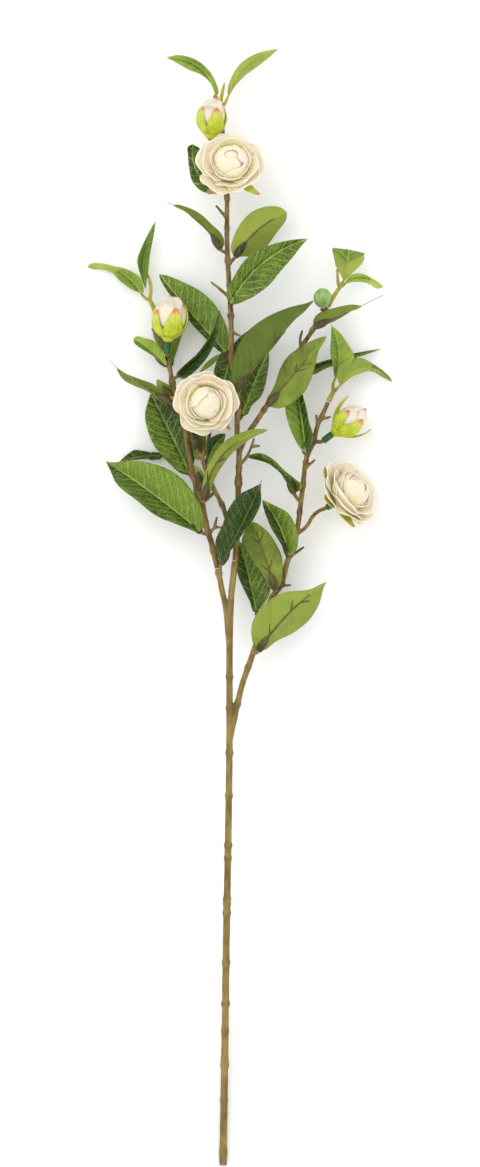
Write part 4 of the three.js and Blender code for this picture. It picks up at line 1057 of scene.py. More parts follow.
# %% Knobs and radii
KNOBS = {  # places where the mouldings bulge: (place along the line, extra radius, half length)
    "stem": [(10, 0.5, 3), (52, 0.5, 2), (80, 0.9, 1.5), (84, 0.5, 3), (108, 0.5, 2), (130, 1.0, 1.6),
             (163, 0.7, 2), (203, 0.8, 2), (210, 0.6, 2), (214, 0.8, 1.5), (247, 0.8, 1.6), (257, 0.9, 1.6),
             (297, 0.8, 1.6), (331, 1.0, 1.6), (367, 0.6, 2), (392, 0.8, 1.6)],
    "branch": [(14, 0.8, 2.5), (38, 0.5, 1.5), (62, 1.1, 3), (66, 0.7, 1.2), (74, 0.7, 1.5), (96, 0.5, 1.4),
               (118, 0.8, 2), (136, 0.5, 1.4), (154, 1.1, 3), (175, 0.5, 1.4), (196, 1.0, 2), (220, 0.5, 1.4),
               (240, 0.9, 2.5), (266, 0.5, 1.4), (290, 0.8, 2)],
}
MAINS = {  # the main lines of each moulding, with the radii at their two ends and their knobs
    "stem": [(STEM, 3.1, 2.6, KNOBS["stem"]), (LEFT_FORK, 2.4, 2.3, [(62, 0.9, 2)]),
             (RIGHT_FORK, 2.5, 2.4, [(30, 0.8, 2), (60, 0.6, 2)])],
    "center": [(CENTER_BRANCH, 2.4, 1.8, KNOBS["branch"]), (BLOOM_TWIG, 2.1, 1.8, [(36, 0.6, 2)]),
               (UPPER_TWIG, 2.3, 1.7, [(40, 0.6, 2), (84, 0.5, 2)])],
    "left": [(LEFT_BRANCH, 2.5, 1.7, KNOBS["branch"])],
    "right": [(RIGHT_BRANCH, 2.4, 1.8, KNOBS["branch"])],
}


def tapered(points, start, end, knobs=()):
    """A line with radii that taper evenly and bulge at its knobs."""
    line = smooth_line([place(point) for point in points])
    travelled = travel(line)
    radii = start + (end - start) * travelled / travelled[-1]
    for where, extra, half in knobs:
        radii = radii + extra * np.exp(-(((travelled - where) / half) ** 2))
    return line, radii


print("knobs on the stem:", len(KNOBS["stem"]))

# %% Twigs, stalks and stubs
TWIG = 1.4
STALK = 1.6
STUB = (0.9, 1.5)  # radii of a stub at its cut end and at its branch
SOCKET_DEPTH = 4  # how far a twig reaches into its socket
GAP = 0.3  # between pieces that are pushed into one another
CALYX_LENGTH = 5
CALYX_BORE_DEPTH = 3
SLEEVE_LENGTH = 9
STRAIGHT_END = 1.5  # how far under the small bud its stalk turns straight


def leaf_twig(shape):
    """The twig of a leaf, from its branch into its socket."""
    mouth, end = socket_line(shape)
    inward = unit(end - mouth)
    points = [place(shape["twig"]), mouth - inward, mouth + inward * SOCKET_DEPTH]
    return smooth_line(points), TWIG


def flower_axis(flower):
    """The place of a flower's base and the way it faces."""
    return place(flower["place"]), unit(flower["facing"])


def flower_stalk(flower):
    """The stalk of a bloom or a bud, which ends straight in its calyx."""
    middle, facing = flower_axis(flower)
    foot = -GAP - CALYX_LENGTH
    straight = foot - (SLEEVE_LENGTH if flower["sleeve"] else 0) - 1
    points = [place(point) for point in flower["stalk"]]
    points += [middle + facing * straight, middle + facing * (foot + CALYX_BORE_DEPTH - GAP)]
    return smooth_line(points), STALK


def small_stalk(flower):
    """The stalk of the small bud, which has no calyx and stands on the end of it."""
    middle, facing = flower_axis(flower)
    points = [place(flower["stalk"]), middle - facing * STRAIGHT_END, middle - facing * GAP]
    return smooth_line(points), STALK


def stub(points):
    """A short cut twig, thinner towards its end, which comes first in its list."""
    line = smooth_line([place(point) for point in points])
    return line, np.linspace(*STUB, len(line))


print("a stalk ends", CALYX_BORE_DEPTH - GAP, "mm inside its calyx")

# %% One skin for each moulding
SKIN = 0.5  # size of a remeshed face, in millimetres
SKIN_SMOOTHING = 4
ROD_SIDES = 14
STEM_LUMPS = (0.5, 4.0)  # roughness and size of the lumps
BRANCH_LUMPS = (0.9, 3.0)


def one_skin(name, chains, material, slot, lumps):
    """A moulding made of rods, remeshed into one smooth skin."""
    maker = bpy.data.objects.new("maker", rods(chains, material, 1.0, ROD_SIDES, *lumps))
    scene.collection.objects.link(maker)
    remesh = maker.modifiers.new("skin", "REMESH")
    remesh.mode = "VOXEL"
    remesh.voxel_size = SKIN
    soften = maker.modifiers.new("soften", "SMOOTH")
    soften.factor = 0.5
    soften.iterations = SKIN_SMOOTHING
    piece = Piece(name + "_skin")
    piece.add_mesh(plain_mesh(maker), material)
    made = piece.make(slot, name)
    print(name, "faces:", len(made.data.polygons))
    return made


def moulding_chains(branch):
    """A moulding's main lines with its leaf twigs, stalks and stubs."""
    chains = [tapered(*main) for main in MAINS[branch]]
    if branch == SMALL_BUD["branch"]:
        chains.append(small_stalk(SMALL_BUD))
    chains += [leaf_twig(shape) for shape in LEAVES.values() if shape["branch"] == branch]
    chains += [flower_stalk(flower) for flower in (BLOOMS | BUDS).values() if flower["branch"] == branch]
    return chains + [stub(points) for points in STUBS.get(branch, [])]


one_skin("stem", moulding_chains("stem"), stem_plastic, "stem_plastic", STEM_LUMPS)
for branch in ("center", "left", "right"):
    one_skin("branch_" + branch, moulding_chains(branch), bark_plastic, "branch_plastic", BRANCH_LUMPS)

# %% [markdown]
# ## Tip sprigs
# Each branch ends in a sprig of young leaves: one moulding of yellow-green plastic that forks like a
# Y, with a small leaf of lighter cloth welded to each arm. The young leaves are blades too, with a
# slimmer rib and no socket. Some turn over towards their tips, and one has a darker lobe on top. An
# arm without a leaf is a bare prong, and the top sprig has a closed leaf between its arms. The two
# sprigs that touch the table are cut off flat there, as the construction model is.

# %% Sprig table
YOUNG = dict(rib_to=0.8)
SPRIGS = {
    "sprig_top": dict(
        stem=[(-3, 846.2, 15.8), (-2.8, 848, 16)],
        bud=[(-3.2, 847.2, 16), (-3.6, 853.6, 18), (-1.2, 864.8, 20)],
        leaves=[leaf_shape((-7.6, 854, 16), (-47.6, 885.2, 20), bow=-10.2, left=(0.6, 1, 3.5, 6, 5, 2),
                           right=(2.5, 3, 3.5, 3.5, 2.5, 0.8), fold=35, **YOUNG),
                leaf_shape((2, 854.4, 16), (41.6, 891.6, 22), bow=8.4, left=(2, 3.4, 3.8, 3, 2, 1),
                           right=(1, 2.6, 5.5, 6.6, 4.6, 1.8), fold=35, under=True, **YOUNG)],
        arms=[[(-2.8, 847, 15.8), (-5.4, 850, 15.4)], [(-2.8, 847, 15.8), (-0.8, 848.8, 15.6)]]),
    "sprig_left": dict(
        stem=[(-56.2, 681.6, 11.8), (-58.6, 687, 11.4), (-61.2, 692.4, 11)], bud=None,
        leaves=[leaf_shape((-64.4, 700.4, 11), (-56.4, 754.4, 12), bow=4.7,
                           left=(0.6, 2.7, 5.2, 2.8, 1.2, 0.6), right=(1, 2.9, 4.4, 4.6, 3.2, 1.2),
                           fold=40, tone=(0, 0.15), rib_from=0.27, **YOUNG),
                leaf_shape((-66.8, 695.2, 11), (-110.4, 718.4, 0.8), bow=-8.5,
                           left=(0.8, 5, 6.5, 3.6, 2, 1.4), right=(3, 6.5, 4.6, 2.4, 2.6, 2.4),
                           fold=35, roll=(0, 25), turned_at=0.56, tone=(0.4, 0.5), **YOUNG)],
        arms=[[(-61, 692, 11), (-60, 698.4, 11), (-60.4, 704.8, 11), (-62.4, 711.2, 11)],
              [(-61.2, 692.4, 11), (-63.6, 692.6, 10.6)]]),
    "sprig_upper": dict(
        stem=[(81.1, 686.1, 23), (84.6, 692, 23), (89, 699, 22.6), (92, 703, 22)], bud=None,
        leaves=[leaf_shape((94.4, 707.2, 23), (97.6, 730.4, 28), left=(1.5, 4, 8, 10, 12, 12.6),
                           right=(1.5, 4.5, 8.5, 12, 13, 10), fold=35, under=True, tone=(0.3, 0.6), **YOUNG),
                leaf_shape((95.2, 704.8, 23), (125.6, 702, 16), bow=4.6, left=(2.5, 4.5, 4, 1.8, 1, 0.6),
                           right=(1, 1.5, 2.5, 3, 4, 3.4), fold=35, roll=(0, 30), turned_at=0.65,
                           tone=(0.6, 0.9), **YOUNG),
                leaf_shape((96.8, 722, 28.6), (98.4, 731.4, 29.6), left=(1.5, 4, 7, 10, 12.6, 13),
                           right=(1.5, 4, 7, 9.5, 12, 12.6), fold=4, tone=(0.3, 0.35))],
        arms=[[(91, 702.4, 22.2), (92.6, 705, 22)], [(91, 702, 22.2), (92.8, 702.4, 22)], [],
              [(90.6, 702.4, 22.2), (89.4, 706, 22), (88.8, 716, 22.6)]]),
    "sprig_right": dict(
        stem=[(81.9, 610.6, 19.8), (84.4, 615.6, 19.6), (86.8, 620, 19)], bud=None,
        leaves=[leaf_shape((87.6, 628.8, 14), (84, 671.6, 30), bow=-4.2, left=(2, 4, 6, 6, 4, 1.5),
                           right=(0.8, 7, 12.2, 8, 4, 1), fold=20, roll=(5, 30), tone=(0.3, 0.5), **YOUNG),
                leaf_shape((91.2, 623.2, 26), (132.4, 626.4, 0.8), bow=12.6, arch=4,
                           left=(5.2, 11.5, 9, 3.8, 2.2, 1.6), right=(1.2, 2.6, 3.7, 2.2, 2.2, 0.9),
                           fold=14, under=True, turned_at=0.6, tone=(0.2, 0.5), rib_to=0.6)],
        arms=[[(85.6, 618, 19.4), (85.6, 624.8, 17.4)], [(86, 618.6, 19.2), (88, 620, 22)]]),
}
print("young leaves:", sum(len(sprig["leaves"]) for sprig in SPRIGS.values()))

# %% The sprigs
YOUNG_START = 0.02
YOUNG_RIB = (0.8, 0.3)
YOUNG_RISE = 0.45
SPRIG_STEM = (2.1, 1.5)
CLOSED_LEAF = [0.8, 1.5, 1.3, 0.5]  # radii of the closed leaf between the arms


def grow_sprig(name, stem, leaves, arms, bud):
    """A sprig: its forked stem, with a young leaf on each arm."""
    piece = Piece(name + "_cloth")
    line = smooth_line([place(point) for point in stem])
    chains = [(line, np.linspace(*SPRIG_STEM, len(line)))]
    for arm, shape in itertools.zip_longest(arms, leaves):
        points = [place(point) for point in arm]
        if shape:
            blade = Blade(shape, YOUNG_START)
            blade.add_to(piece, young_top, young_back)
            if points:
                ribs = rib_chains(blade, shape["rib_from"], YOUNG_RIB, YOUNG_RISE)
                points.append(ribs[0][0][0])
                chains += ribs
        if points:
            line = smooth_line(points)
            chains.append((line, np.linspace(SPRIG_STEM[1], YOUNG_RIB[0], len(line))))
    if bud:
        line = smooth_line([place(point) for point in bud])
        along = np.linspace(0, 1, len(CLOSED_LEAF))
        chains.append((line, np.interp(np.linspace(0, 1, len(line)), along, CLOSED_LEAF)))
    piece.add_mesh(rods(chains, sprig_plastic, step=0.8, sides=8), sprig_plastic)
    piece.points = [np.maximum(points, [-math.inf, -math.inf, 0.0]) for points in piece.points]
    return piece.make("young_leaf_fabric", name)


for name, sprig in SPRIGS.items():
    grow_sprig(name, **sprig)
print("sprigs:", len(SPRIGS))

# %% [markdown]
# ## Petal and sepal finishes
# The petals are cream satin, dyed yellow-green towards the heart of the bloom and pressed into fine
# pleats. The sepals are lime green plastic with tips touched up in orange. Both change along their
# length, so the finishes read how far along its petal each point lies. Light runs on a little way
# inside both, which is what makes thin cloth and plastic look soft.

# %% The petal finish
PLEATS = 34.0  # how fast the pleats follow one another across a petal
PLEAT_HEIGHT = 0.3  # height of the pleats beside that of the crumpled cloth
CRUMPLE = (1.6, 3)  # size and detail of the noise that crumples the cloth
DYE_SWING = (9, 3, 0.6)  # size, detail and swing of the uneven edge of the dye
DYE_FADE = 0.25
BLUSH = colour(238, 218, 198)
BLUSH_PATCH = 14
BLUSH_LEVELS = (0.42, 0.7)
BLUSH_STRENGTH = 0.6
RIM = colour(242, 236, 212)
RIM_FADE = (0.94, 1.0)  # along a petal
SATIN_DEPTH = 1.6  # how far light runs on inside the satin, in millimetres


def glow(shader, weight, colours, depth):
    """Lets light run on inside a finish, more or less far in each colour."""
    shader.inputs["Subsurface Weight"].default_value = weight
    shader.inputs["Subsurface Radius"].default_value = colours
    shader.inputs["Subsurface Scale"].default_value = depth * MM


def petal_cloth(name, dye, cream, dyed_to, pleat=0.22):
    """Cream satin, dyed towards the root, with pressed pleats that fan out from it and a pale rim."""
    material, tree, shader = new_finish(name, roughness=0.66)
    along, across, tone = read(tree, "along"), read(tree, "across"), read(tree, "tone")
    reach = calc(tree, "ADD", calc(tree, "ADD", along, swing(tree, *DYE_SWING)), tone)
    dyed = mix(tree, ramp(tree, reach, dyed_to - DYE_FADE, dyed_to + DYE_FADE), dye, cream)
    blush = mix(tree, ramp(tree, noise(tree, BLUSH_PATCH), *BLUSH_LEVELS, 0.0, BLUSH_STRENGTH), dyed, BLUSH)
    tree.links.new(mix(tree, ramp(tree, along, *RIM_FADE), blush, RIM), shader.inputs["Base Color"])
    fan = calc(tree, "SINE", calc(tree, "MULTIPLY", across, PLEATS))
    pleats = calc(tree, "ADD", calc(tree, "MULTIPLY", fan, PLEAT_HEIGHT), noise(tree, *CRUMPLE))
    relief(tree, shader, pleats, pleat)
    shader.inputs["Sheen Weight"].default_value = 0.15
    glow(shader, weight=0.4, colours=(1.0, 1.0, 0.9), depth=SATIN_DEPTH)
    return material


petal_satin = petal_cloth("petal satin", colour(208, 216, 84), colour(233, 221, 192), 0.5)
bud_satin = petal_cloth("bud satin", colour(222, 220, 156), colour(232, 220, 196), 0.2, 0.4)
print("satins:", petal_satin.name, bud_satin.name)

# %% The sepal finish
LIME_PATCH = 6
LIME_LEVELS = (0.35, 0.65)
PALE_FADE = (0.55, 0.85)  # along a sepal, as the two below
ORANGE_FADE = (0.8, 0.93)
TIP_FADE = (0.95, 1.06)
ORANGE_SWING = (3, 3, 0.22)  # size, detail and swing of the uneven edge of the orange
SEPAL_RIBS = 16.0  # how fast the ribs follow one another across a sepal
SEPAL_RELIEF = 0.12


def sepal_moulding(name):
    """Lime plastic with faint ribs, touched up in orange over the tips."""
    material, tree, shader = new_finish(name, roughness=0.42)
    along, across, tone = read(tree, "along"), read(tree, "across"), read(tree, "tone")
    reach = calc(tree, "ADD", calc(tree, "ADD", along, swing(tree, *ORANGE_SWING)), tone)
    patches = ramp(tree, noise(tree, LIME_PATCH), *LIME_LEVELS)
    green = mix(tree, patches, colour(166, 182, 22), colour(194, 202, 46))
    pale = mix(tree, ramp(tree, along, *PALE_FADE), green, colour(204, 200, 84))
    orange = mix(tree, ramp(tree, reach, *ORANGE_FADE), pale, colour(218, 142, 66))
    tip = mix(tree, ramp(tree, reach, *TIP_FADE), orange, colour(200, 106, 48))
    tree.links.new(tip, shader.inputs["Base Color"])
    relief(tree, shader, calc(tree, "SINE", calc(tree, "MULTIPLY", across, SEPAL_RIBS)), SEPAL_RELIEF)
    glow(shader, weight=0.25, colours=(0.8, 1.0, 0.3), depth=1.0)
    return material


sepal_plastic = sepal_moulding("lime sepal plastic")
print("sepal finish:", sepal_plastic.name)

# %% [markdown]
# ## Petals
# A petal is a sheet that rises from the bloom's axis. Its slope changes evenly from root to rim, so
# it lies on a surface turned about that axis and nests in its neighbours. On top of that it is
# cupped, its rim rolls outwards, and it has soft waves and pressed pleats. Sepals are made by the
# same formula, with a pointed outline. The cores, cups and sleeves are plain turned solids.

# %% One petal
PETAL_CLOTH = 0.45
PETAL_GRID = (16, 20)  # rows and columns
PETAL_FOOT = 0.3  # width of a petal at its root, as a share of its full width
PETAL_FULL = 0.62  # where along it a petal gets its full width
CORNER_ROUND = 2.6  # above 2, the corners of a rim are rounder than the rest of it
WOBBLE = 0.02  # how uneven a rim is, as a share of the length
WOBBLES = 7
WAVES = 5.5
RIM_START = 0.45  # where along a petal its rim starts to wave and roll
LEAST_RADIUS = 2.0


def petal_outline(along):
    """Share of its width that a petal has: narrow at the root, and full from above its middle."""
    return PETAL_FOOT + (1 - PETAL_FOOT) * np.sin(np.minimum(along / PETAL_FULL, 1) * math.pi / 2)


def petal(root, height, length, width, rise, corner=0.24, curl=0.0, wave=0.0, cup=0.0, seed=0.0,
          outline=petal_outline, grid=PETAL_GRID, thickness=PETAL_CLOTH, pleat=0.06):
    """A petal as grids: its front, its back, and how far along and across each point is."""
    along = np.linspace(0, 1, grid[0] + 1)[:, None]
    across = np.linspace(-1, 1, grid[1] + 1)[None, :]
    uneven = corner * np.abs(across) ** CORNER_ROUND + WOBBLE * np.sin(across * WOBBLES + seed)
    reach = along * length * (1 - uneven)
    start, bend = math.radians(rise[0]), math.radians(rise[1] - rise[0]) / length
    slope = start + bend * reach
    radius = root + (np.sin(slope) - math.sin(start)) / bend
    level = height + (math.cos(start) - np.cos(slope)) / bend
    turn = across * 0.5 * width * outline(along) / np.maximum(radius, LEAST_RADIUS)
    rim = ease(along, RIM_START, 1.0)
    push = (cup * across**2 * along + wave * np.sin(across * WAVES + seed) * rim * np.abs(across)
            + pleat * np.sin(across * PLEATS) * along - curl * rim**2)
    radius = radius - push * np.sin(slope)
    level = level + push * np.cos(slope)
    sheets = []
    for side in (0.5, -0.5):
        out = radius - np.sin(slope) * thickness * side
        up = level + np.cos(slope) * thickness * side
        sheets.append(np.stack([out * np.cos(turn), out * np.sin(turn), up], axis=-1).reshape(-1, 3))
    shape = np.broadcast_shapes(along.shape, across.shape)
    return sheets, np.broadcast_to(along, shape).ravel(), np.broadcast_to(across, shape).ravel()


def add_petal(piece, material, tone=0.0, **shape):
    """Adds a petal, or a sepal, to a piece."""
    sheets, along, across = petal(**shape)
    rows, columns = shape.get("grid", PETAL_GRID)
    front, back, rim = sheet_faces(rows + 1, columns + 1)
    piece.add(np.concatenate(sheets), front + back + rim, material,
              along=np.tile(along, 2), across=np.tile(across, 2), tone=tone)


print("a petal has", 2 * (PETAL_GRID[0] + 1) * (PETAL_GRID[1] + 1), "points")

# %% Turned solids
TURNED_SIDES = 24


def turned(profile, material, sides=TURNED_SIDES, closed=False, swell=None, **values):
    """A solid turned about the axis from a profile of (radius, height).

    A closed profile runs back to its start, and any other starts and ends on the axis. swell gives
    what is added to the radius, from the turn and the height.
    """
    turns = np.linspace(0, 2 * math.pi, sides, endpoint=False)
    rings = profile if closed else profile[1:-1]
    points = []
    for radius, height in rings:
        wide = radius + (swell(turns, height) if swell else 0.0)
        points += [(out * math.cos(turn), out * math.sin(turn), height)
                   for out, turn in zip(np.broadcast_to(wide, turns.shape), turns)]
    faces = ring_faces(len(rings), sides, closed)
    if not closed:
        foot, top = len(points), len(points) + 1
        points += [(0, 0, profile[0][1]), (0, 0, profile[-1][1])]
        for side in range(sides):
            after = (side + 1) % sides
            faces += [(foot, after, side), (top, foot - sides + side, foot - sides + after)]
    piece = Piece("turned")
    piece.add(points, faces, material, **values)
    return piece


trial = turned([(0, 0), (5, 0), (5, 10), (0, 10)], petal_satin)
print("a turned drum has", len(trial.faces), "faces")

# %% [markdown]
# ## Rings of petals
# A bloom is built in rings. The petal tree takes one petal and sets copies of it round the axis,
# every other one a little further in, each with a small chance turn, lean and change of size. The
# seed is fixed, so a bloom comes out the same every time.

# %% The petal tree
def ring_tree():
    """Copies of a petal set round the axis, each with its own small chance changes."""
    tree, start, end = new_tree("petal ring", {
        "Count": "NodeSocketInt", "Start": "NodeSocketFloat", "Inset": "NodeSocketFloat",
        "Turn Chance": "NodeSocketFloat", "Lean Chance": "NodeSocketFloat", "Size Chance": "NodeSocketFloat",
        "Seed": "NodeSocketInt", "Material": "NodeSocketMaterial"})
    given = start.outputs
    index = tree.nodes.new("GeometryNodeInputIndex").outputs[0]

    def chance(label, seed):
        """A chance amount for each petal, from minus to plus the named input."""
        low = calc(tree, "MULTIPLY", given[label], -1.0)
        mixed = add(tree, "FunctionNodeRandomValue", {2: low, 3: given[label], "ID": index,
                                                      "Seed": calc(tree, "ADD", given["Seed"], seed)},
                    data_type="FLOAT")
        return mixed.outputs[1]

    odd = calc(tree, "MULTIPLY", calc(tree, "MODULO", index, 2.0), given["Inset"])
    step = calc(tree, "DIVIDE", 2 * math.pi, given["Count"])
    turn = calc(tree, "ADD", calc(tree, "MULTIPLY", index, step), given["Start"])
    turn = calc(tree, "ADD", turn, chance("Turn Chance", 0))
    inwards = add(tree, "ShaderNodeCombineXYZ", {0: calc(tree, "MULTIPLY", odd, -1.0), 2: odd}).outputs[0]
    shift = add(tree, "ShaderNodeVectorRotate", {"Vector": inwards, "Angle": turn},
                rotation_type="Z_AXIS").outputs[0]
    points = add(tree, "GeometryNodePoints", {"Count": given["Count"], "Position": shift}).outputs[0]
    euler = add(tree, "ShaderNodeCombineXYZ", {1: chance("Lean Chance", 1), 2: turn}).outputs[0]
    rotation = add(tree, "FunctionNodeEulerToRotation", {0: euler}).outputs[0]
    size = calc(tree, "ADD", 1.0, chance("Size Chance", 2))
    scale = add(tree, "ShaderNodeCombineXYZ", {0: size, 1: size, 2: size}).outputs[0]
    copies = add(tree, "GeometryNodeInstanceOnPoints", {"Points": points, "Instance": given["Geometry"],
                                                        "Rotation": rotation, "Scale": scale}).outputs[0]
    end_tree(tree, end, copies, given["Material"])
    return tree


RING = ring_tree()


def ring(count, start, inset, material, seed, chances, **shape):
    """A ring of petals as a plain mesh. start and the chances of turn and lean are in degrees."""
    one = Piece("one petal")
    add_petal(one, material, seed=float(seed), **shape)
    turn, lean, size = chances
    return run_tree(RING, one.mesh(1.0), {
        "Count": count, "Start": math.radians(start), "Inset": inset, "Turn Chance": math.radians(turn),
        "Lean Chance": math.radians(lean), "Size Chance": size, "Seed": seed, "Material": material})


trial = ring(5, 0, 1.0, petal_satin, 1, (4, 2.5, 0.05), root=5, height=0, length=20, width=20, rise=(12, 54))
print("a ring of 5 petals:", len(trial.vertices), "points")

# %% [markdown]
# ## Open blooms
# Six rings of petals stand round a closed heart, as in the real bloom: the outer ones lie open and
# broad, each ring inside is steeper and shorter, and the last two wrap the heart, where three long
# tongues meet over a solid core. A bloom is made about its own axis, and then set on its stalk.

# %% The petals of a bloom
BLOOM_RINGS = [  # count, start, inset and petal, from the outermost ring to the heart
    (5, 30, 1.4, dict(root=5.2, height=1.0, length=22.5, width=31, rise=(6, 50), curl=2.0, wave=1.8,
                      corner=0.16)),
    (5, 70, 1.8, dict(root=7.5, height=1.8, length=19, width=28, rise=(20, 70), curl=2.0, wave=1.2,
                      corner=0.18)),
    (4, 20, 2.2, dict(root=10.6, height=2.8, length=15.5, width=30, rise=(42, 92), curl=1.4, wave=1.0)),
    (2, 150, 0.8, dict(root=12.1, height=4, length=13.5, width=26, rise=(60, 114), curl=0.4, wave=0.6,
                       corner=0.34)),
    (3, 25, 0.4, dict(root=11.9, height=5, length=15, width=30, rise=(64, 136), wave=0.2, corner=0.4)),
    (3, 80, 0.0, dict(root=11.6, height=5, length=21, width=25, rise=(64, 160), wave=0.2, corner=0.5)),
]
BLOOM_CORE = [(0, 0), (6, 0.2), (10, 3), (11.7, 8), (12, 12), (11.1, 15.8), (9, 18.8), (5.8, 21),
              (2.8, 22), (0, 22.3)]
CORE_ALONG = 0.8  # the core is dyed as a petal is this far along
RING_CHANCES = (12, 3.0, 0.06)  # of turn and lean, in degrees, and of size
UPRIGHT = Vector((0, 0, 1))


def flower_matrix(flower, size):
    """From a flower's own axis and size to its place on its stalk."""
    middle, facing = flower_axis(flower)
    turn = UPRIGHT.rotation_difference(Vector(facing)).to_matrix().to_4x4()
    spin = Matrix.Rotation(math.radians(flower["spin"]), 4, "Z")
    return Matrix.Translation(middle) @ turn @ spin @ Matrix.Scale(size, 4)


def bloom_petals(name, bloom, seed):
    """The petals of a bloom, ring by ring, on their core."""
    matrix = flower_matrix(bloom, bloom["size"])
    piece = Piece(name + "_satin")
    piece.add_piece(turned(BLOOM_CORE, petal_satin, along=CORE_ALONG), matrix)
    for number, (count, start, inset, shape) in enumerate(BLOOM_RINGS):
        petals = ring(count, start, inset, petal_satin, seed + number, RING_CHANCES, **shape)
        piece.add_mesh(petals, petal_satin, matrix)
    return piece.make("petal_fabric", name + "_petals")


print("petals in a bloom:", sum(count for count, *_ in BLOOM_RINGS))

# %% [markdown]
# ## Sepals and cups
# Under each flower a bored cup sits on the stalk, and holds one sepal for each outer petal. The real
# ones are moulded in one piece, so cup and sepals are one object here too. The sepals differ in
# length and width, and those that bend right away from the flower are pale to the tip.

# %% Sepals and cup
SEPAL = 0.7  # thickness
SEPAL_GRID = (18, 10)
SEPAL_CUP = -0.3
FIRST_SEPAL = 36  # in degrees
SEPAL_FOOT = 0.6  # width of a sepal at its root, as a share of its full width
SEPAL_FULL = 0.3  # where along it a sepal has its full width
SEPAL_POINT = 0.05
SEPAL_END = 1.01  # where its sides would meet, a little past its tip
SEPAL_TAPER = 0.62  # below 1, a sepal keeps its width for longer
NO_ORANGE = -0.5  # tone of the sepals that bend away
CUP_PROFILE = [(0, -2.3), (1.9, -2.3), (1.9, -5.3), (2.9, -5.2), (4.2, -3.6), (6.2, -1.4), (6.6, -0.3),
               (0, -0.3)]


def sepal_outline(along):
    """Share of its width that a sepal has: broad near the root, pointed at the tip."""
    wide = SEPAL_FOOT + (1 - SEPAL_FOOT) * np.minimum(along / SEPAL_FULL, 1)
    taper = np.clip(1 - (along - SEPAL_FULL) / (SEPAL_END - SEPAL_FULL), 0, 1) ** SEPAL_TAPER
    return np.where(along < SEPAL_FULL, wide, np.maximum(taper, SEPAL_POINT))


def calyx(name, flower, root, height, rise):
    """The cup under a flower, with its sepals. rise gives a sepal's slopes from its length and flare."""
    piece = Piece(name + "_calyx_moulding")
    matrix = flower_matrix(flower, flower["size"])
    for number, (length, width, flare) in enumerate(flower["sepals"]):
        sepal = Piece("sepal")
        add_petal(sepal, sepal_plastic, tone=NO_ORANGE if flare > 1 else 0.0, root=root, height=height,
                  length=length, width=width, rise=rise(length, flare), corner=0.0, cup=SEPAL_CUP, pleat=0.0,
                  outline=sepal_outline, grid=SEPAL_GRID, thickness=SEPAL, seed=float(number))
        turn = math.radians(FIRST_SEPAL + number * 360 / len(flower["sepals"]))
        piece.add_piece(sepal, matrix @ Matrix.Rotation(turn, 4, "Z"))
    piece.add_piece(turned(CUP_PROFILE, sepal_plastic), flower_matrix(flower, 1.0))
    return piece.make("sepal_plastic", name + "_calyx")


print("share of its width at a sepal's middle:", float(sepal_outline(0.5).round(2)))

# %% The blooms
BLOOM_CALYX = dict(root=4.4, height=-0.9)
BLOOM_SEPAL_BEND = 1.5  # how much a sepal steepens with each millimetre


def bloom_rise(length, flare):
    """The slopes of a bloom's sepal at its root and at its tip."""
    return 0, (BLOOM_SEPAL_BEND - flare) * length


for number, (name, bloom) in enumerate(BLOOMS.items()):
    bloom_petals(name, bloom, 10 * number + 3)
    calyx(name, bloom, rise=bloom_rise, **BLOOM_CALYX)
print("blooms:", len(BLOOMS))

# %% [markdown]
# ## Buds
# A bud shows a few broad petals wrapped over one another, held by sepals that lie close against
# them. They are the same tree and formulas with steeper slopes that close over the top. Where a
# dark green sleeve hides the joint of calyx and stalk, it is a ring turned from a rounded profile.

# %% The petals and sepals of a bud
BUD_CORE = [(0, 0), (4.8, 0.2), (7.4, 4), (8.9, 8), (9.1, 12), (8.0, 16), (5.6, 19.6), (2.6, 21.8), (0, 22.4)]
BUD_CORE_ALONG = 0.7
BUD_RINGS = [  # count, start, inset, and the root and length of a petal
    (4, 20, 0.9, 4.6, 24.5),
    (3, 65, 0.7, 4.3, 26.5),
]
BUD_PETAL = dict(height=1.4, width=19, corner=0.1, wave=0.5, pleat=0.22)
BUD_START = 35  # slope of a petal at its root, in degrees
BUD_BEND = 4.6  # how much it steepens with each millimetre
BUD_CHANCES = (4, 1.5, 0.03)
BUD_CALYX = dict(root=5.6, height=-0.5)
BUD_SEPAL_START = 36
BUD_SEPAL_BEND = 4.3


def bud_petals(name, bud, seed):
    """The wrapped petals of a bud."""
    matrix = flower_matrix(bud, bud["size"])
    piece = Piece(name + "_satin")
    piece.add_piece(turned(BUD_CORE, bud_satin, along=BUD_CORE_ALONG), matrix)
    for number, (count, start, inset, root, length) in enumerate(BUD_RINGS):
        petals = ring(count, start, inset, bud_satin, seed + number, BUD_CHANCES, root=root, length=length,
                      rise=(BUD_START, BUD_START + BUD_BEND * length), **BUD_PETAL)
        piece.add_mesh(petals, bud_satin, matrix)
    return piece.make("petal_fabric", name + "_petals")


def bud_rise(length, flare):
    """The slopes of a bud's sepal at its root and at its tip."""
    return BUD_SEPAL_START, BUD_SEPAL_START + (BUD_SEPAL_BEND - flare) * length


for number, (name, bud) in enumerate(BUDS.items()):
    bud_petals(name, bud, 7 * number + 50)
    calyx(name, bud, rise=bud_rise, **BUD_CALYX)
print("buds:", len(BUDS))

# %% Sleeves
SLEEVE_RADIUS = 2.7
SLEEVE_EDGE = 0.3


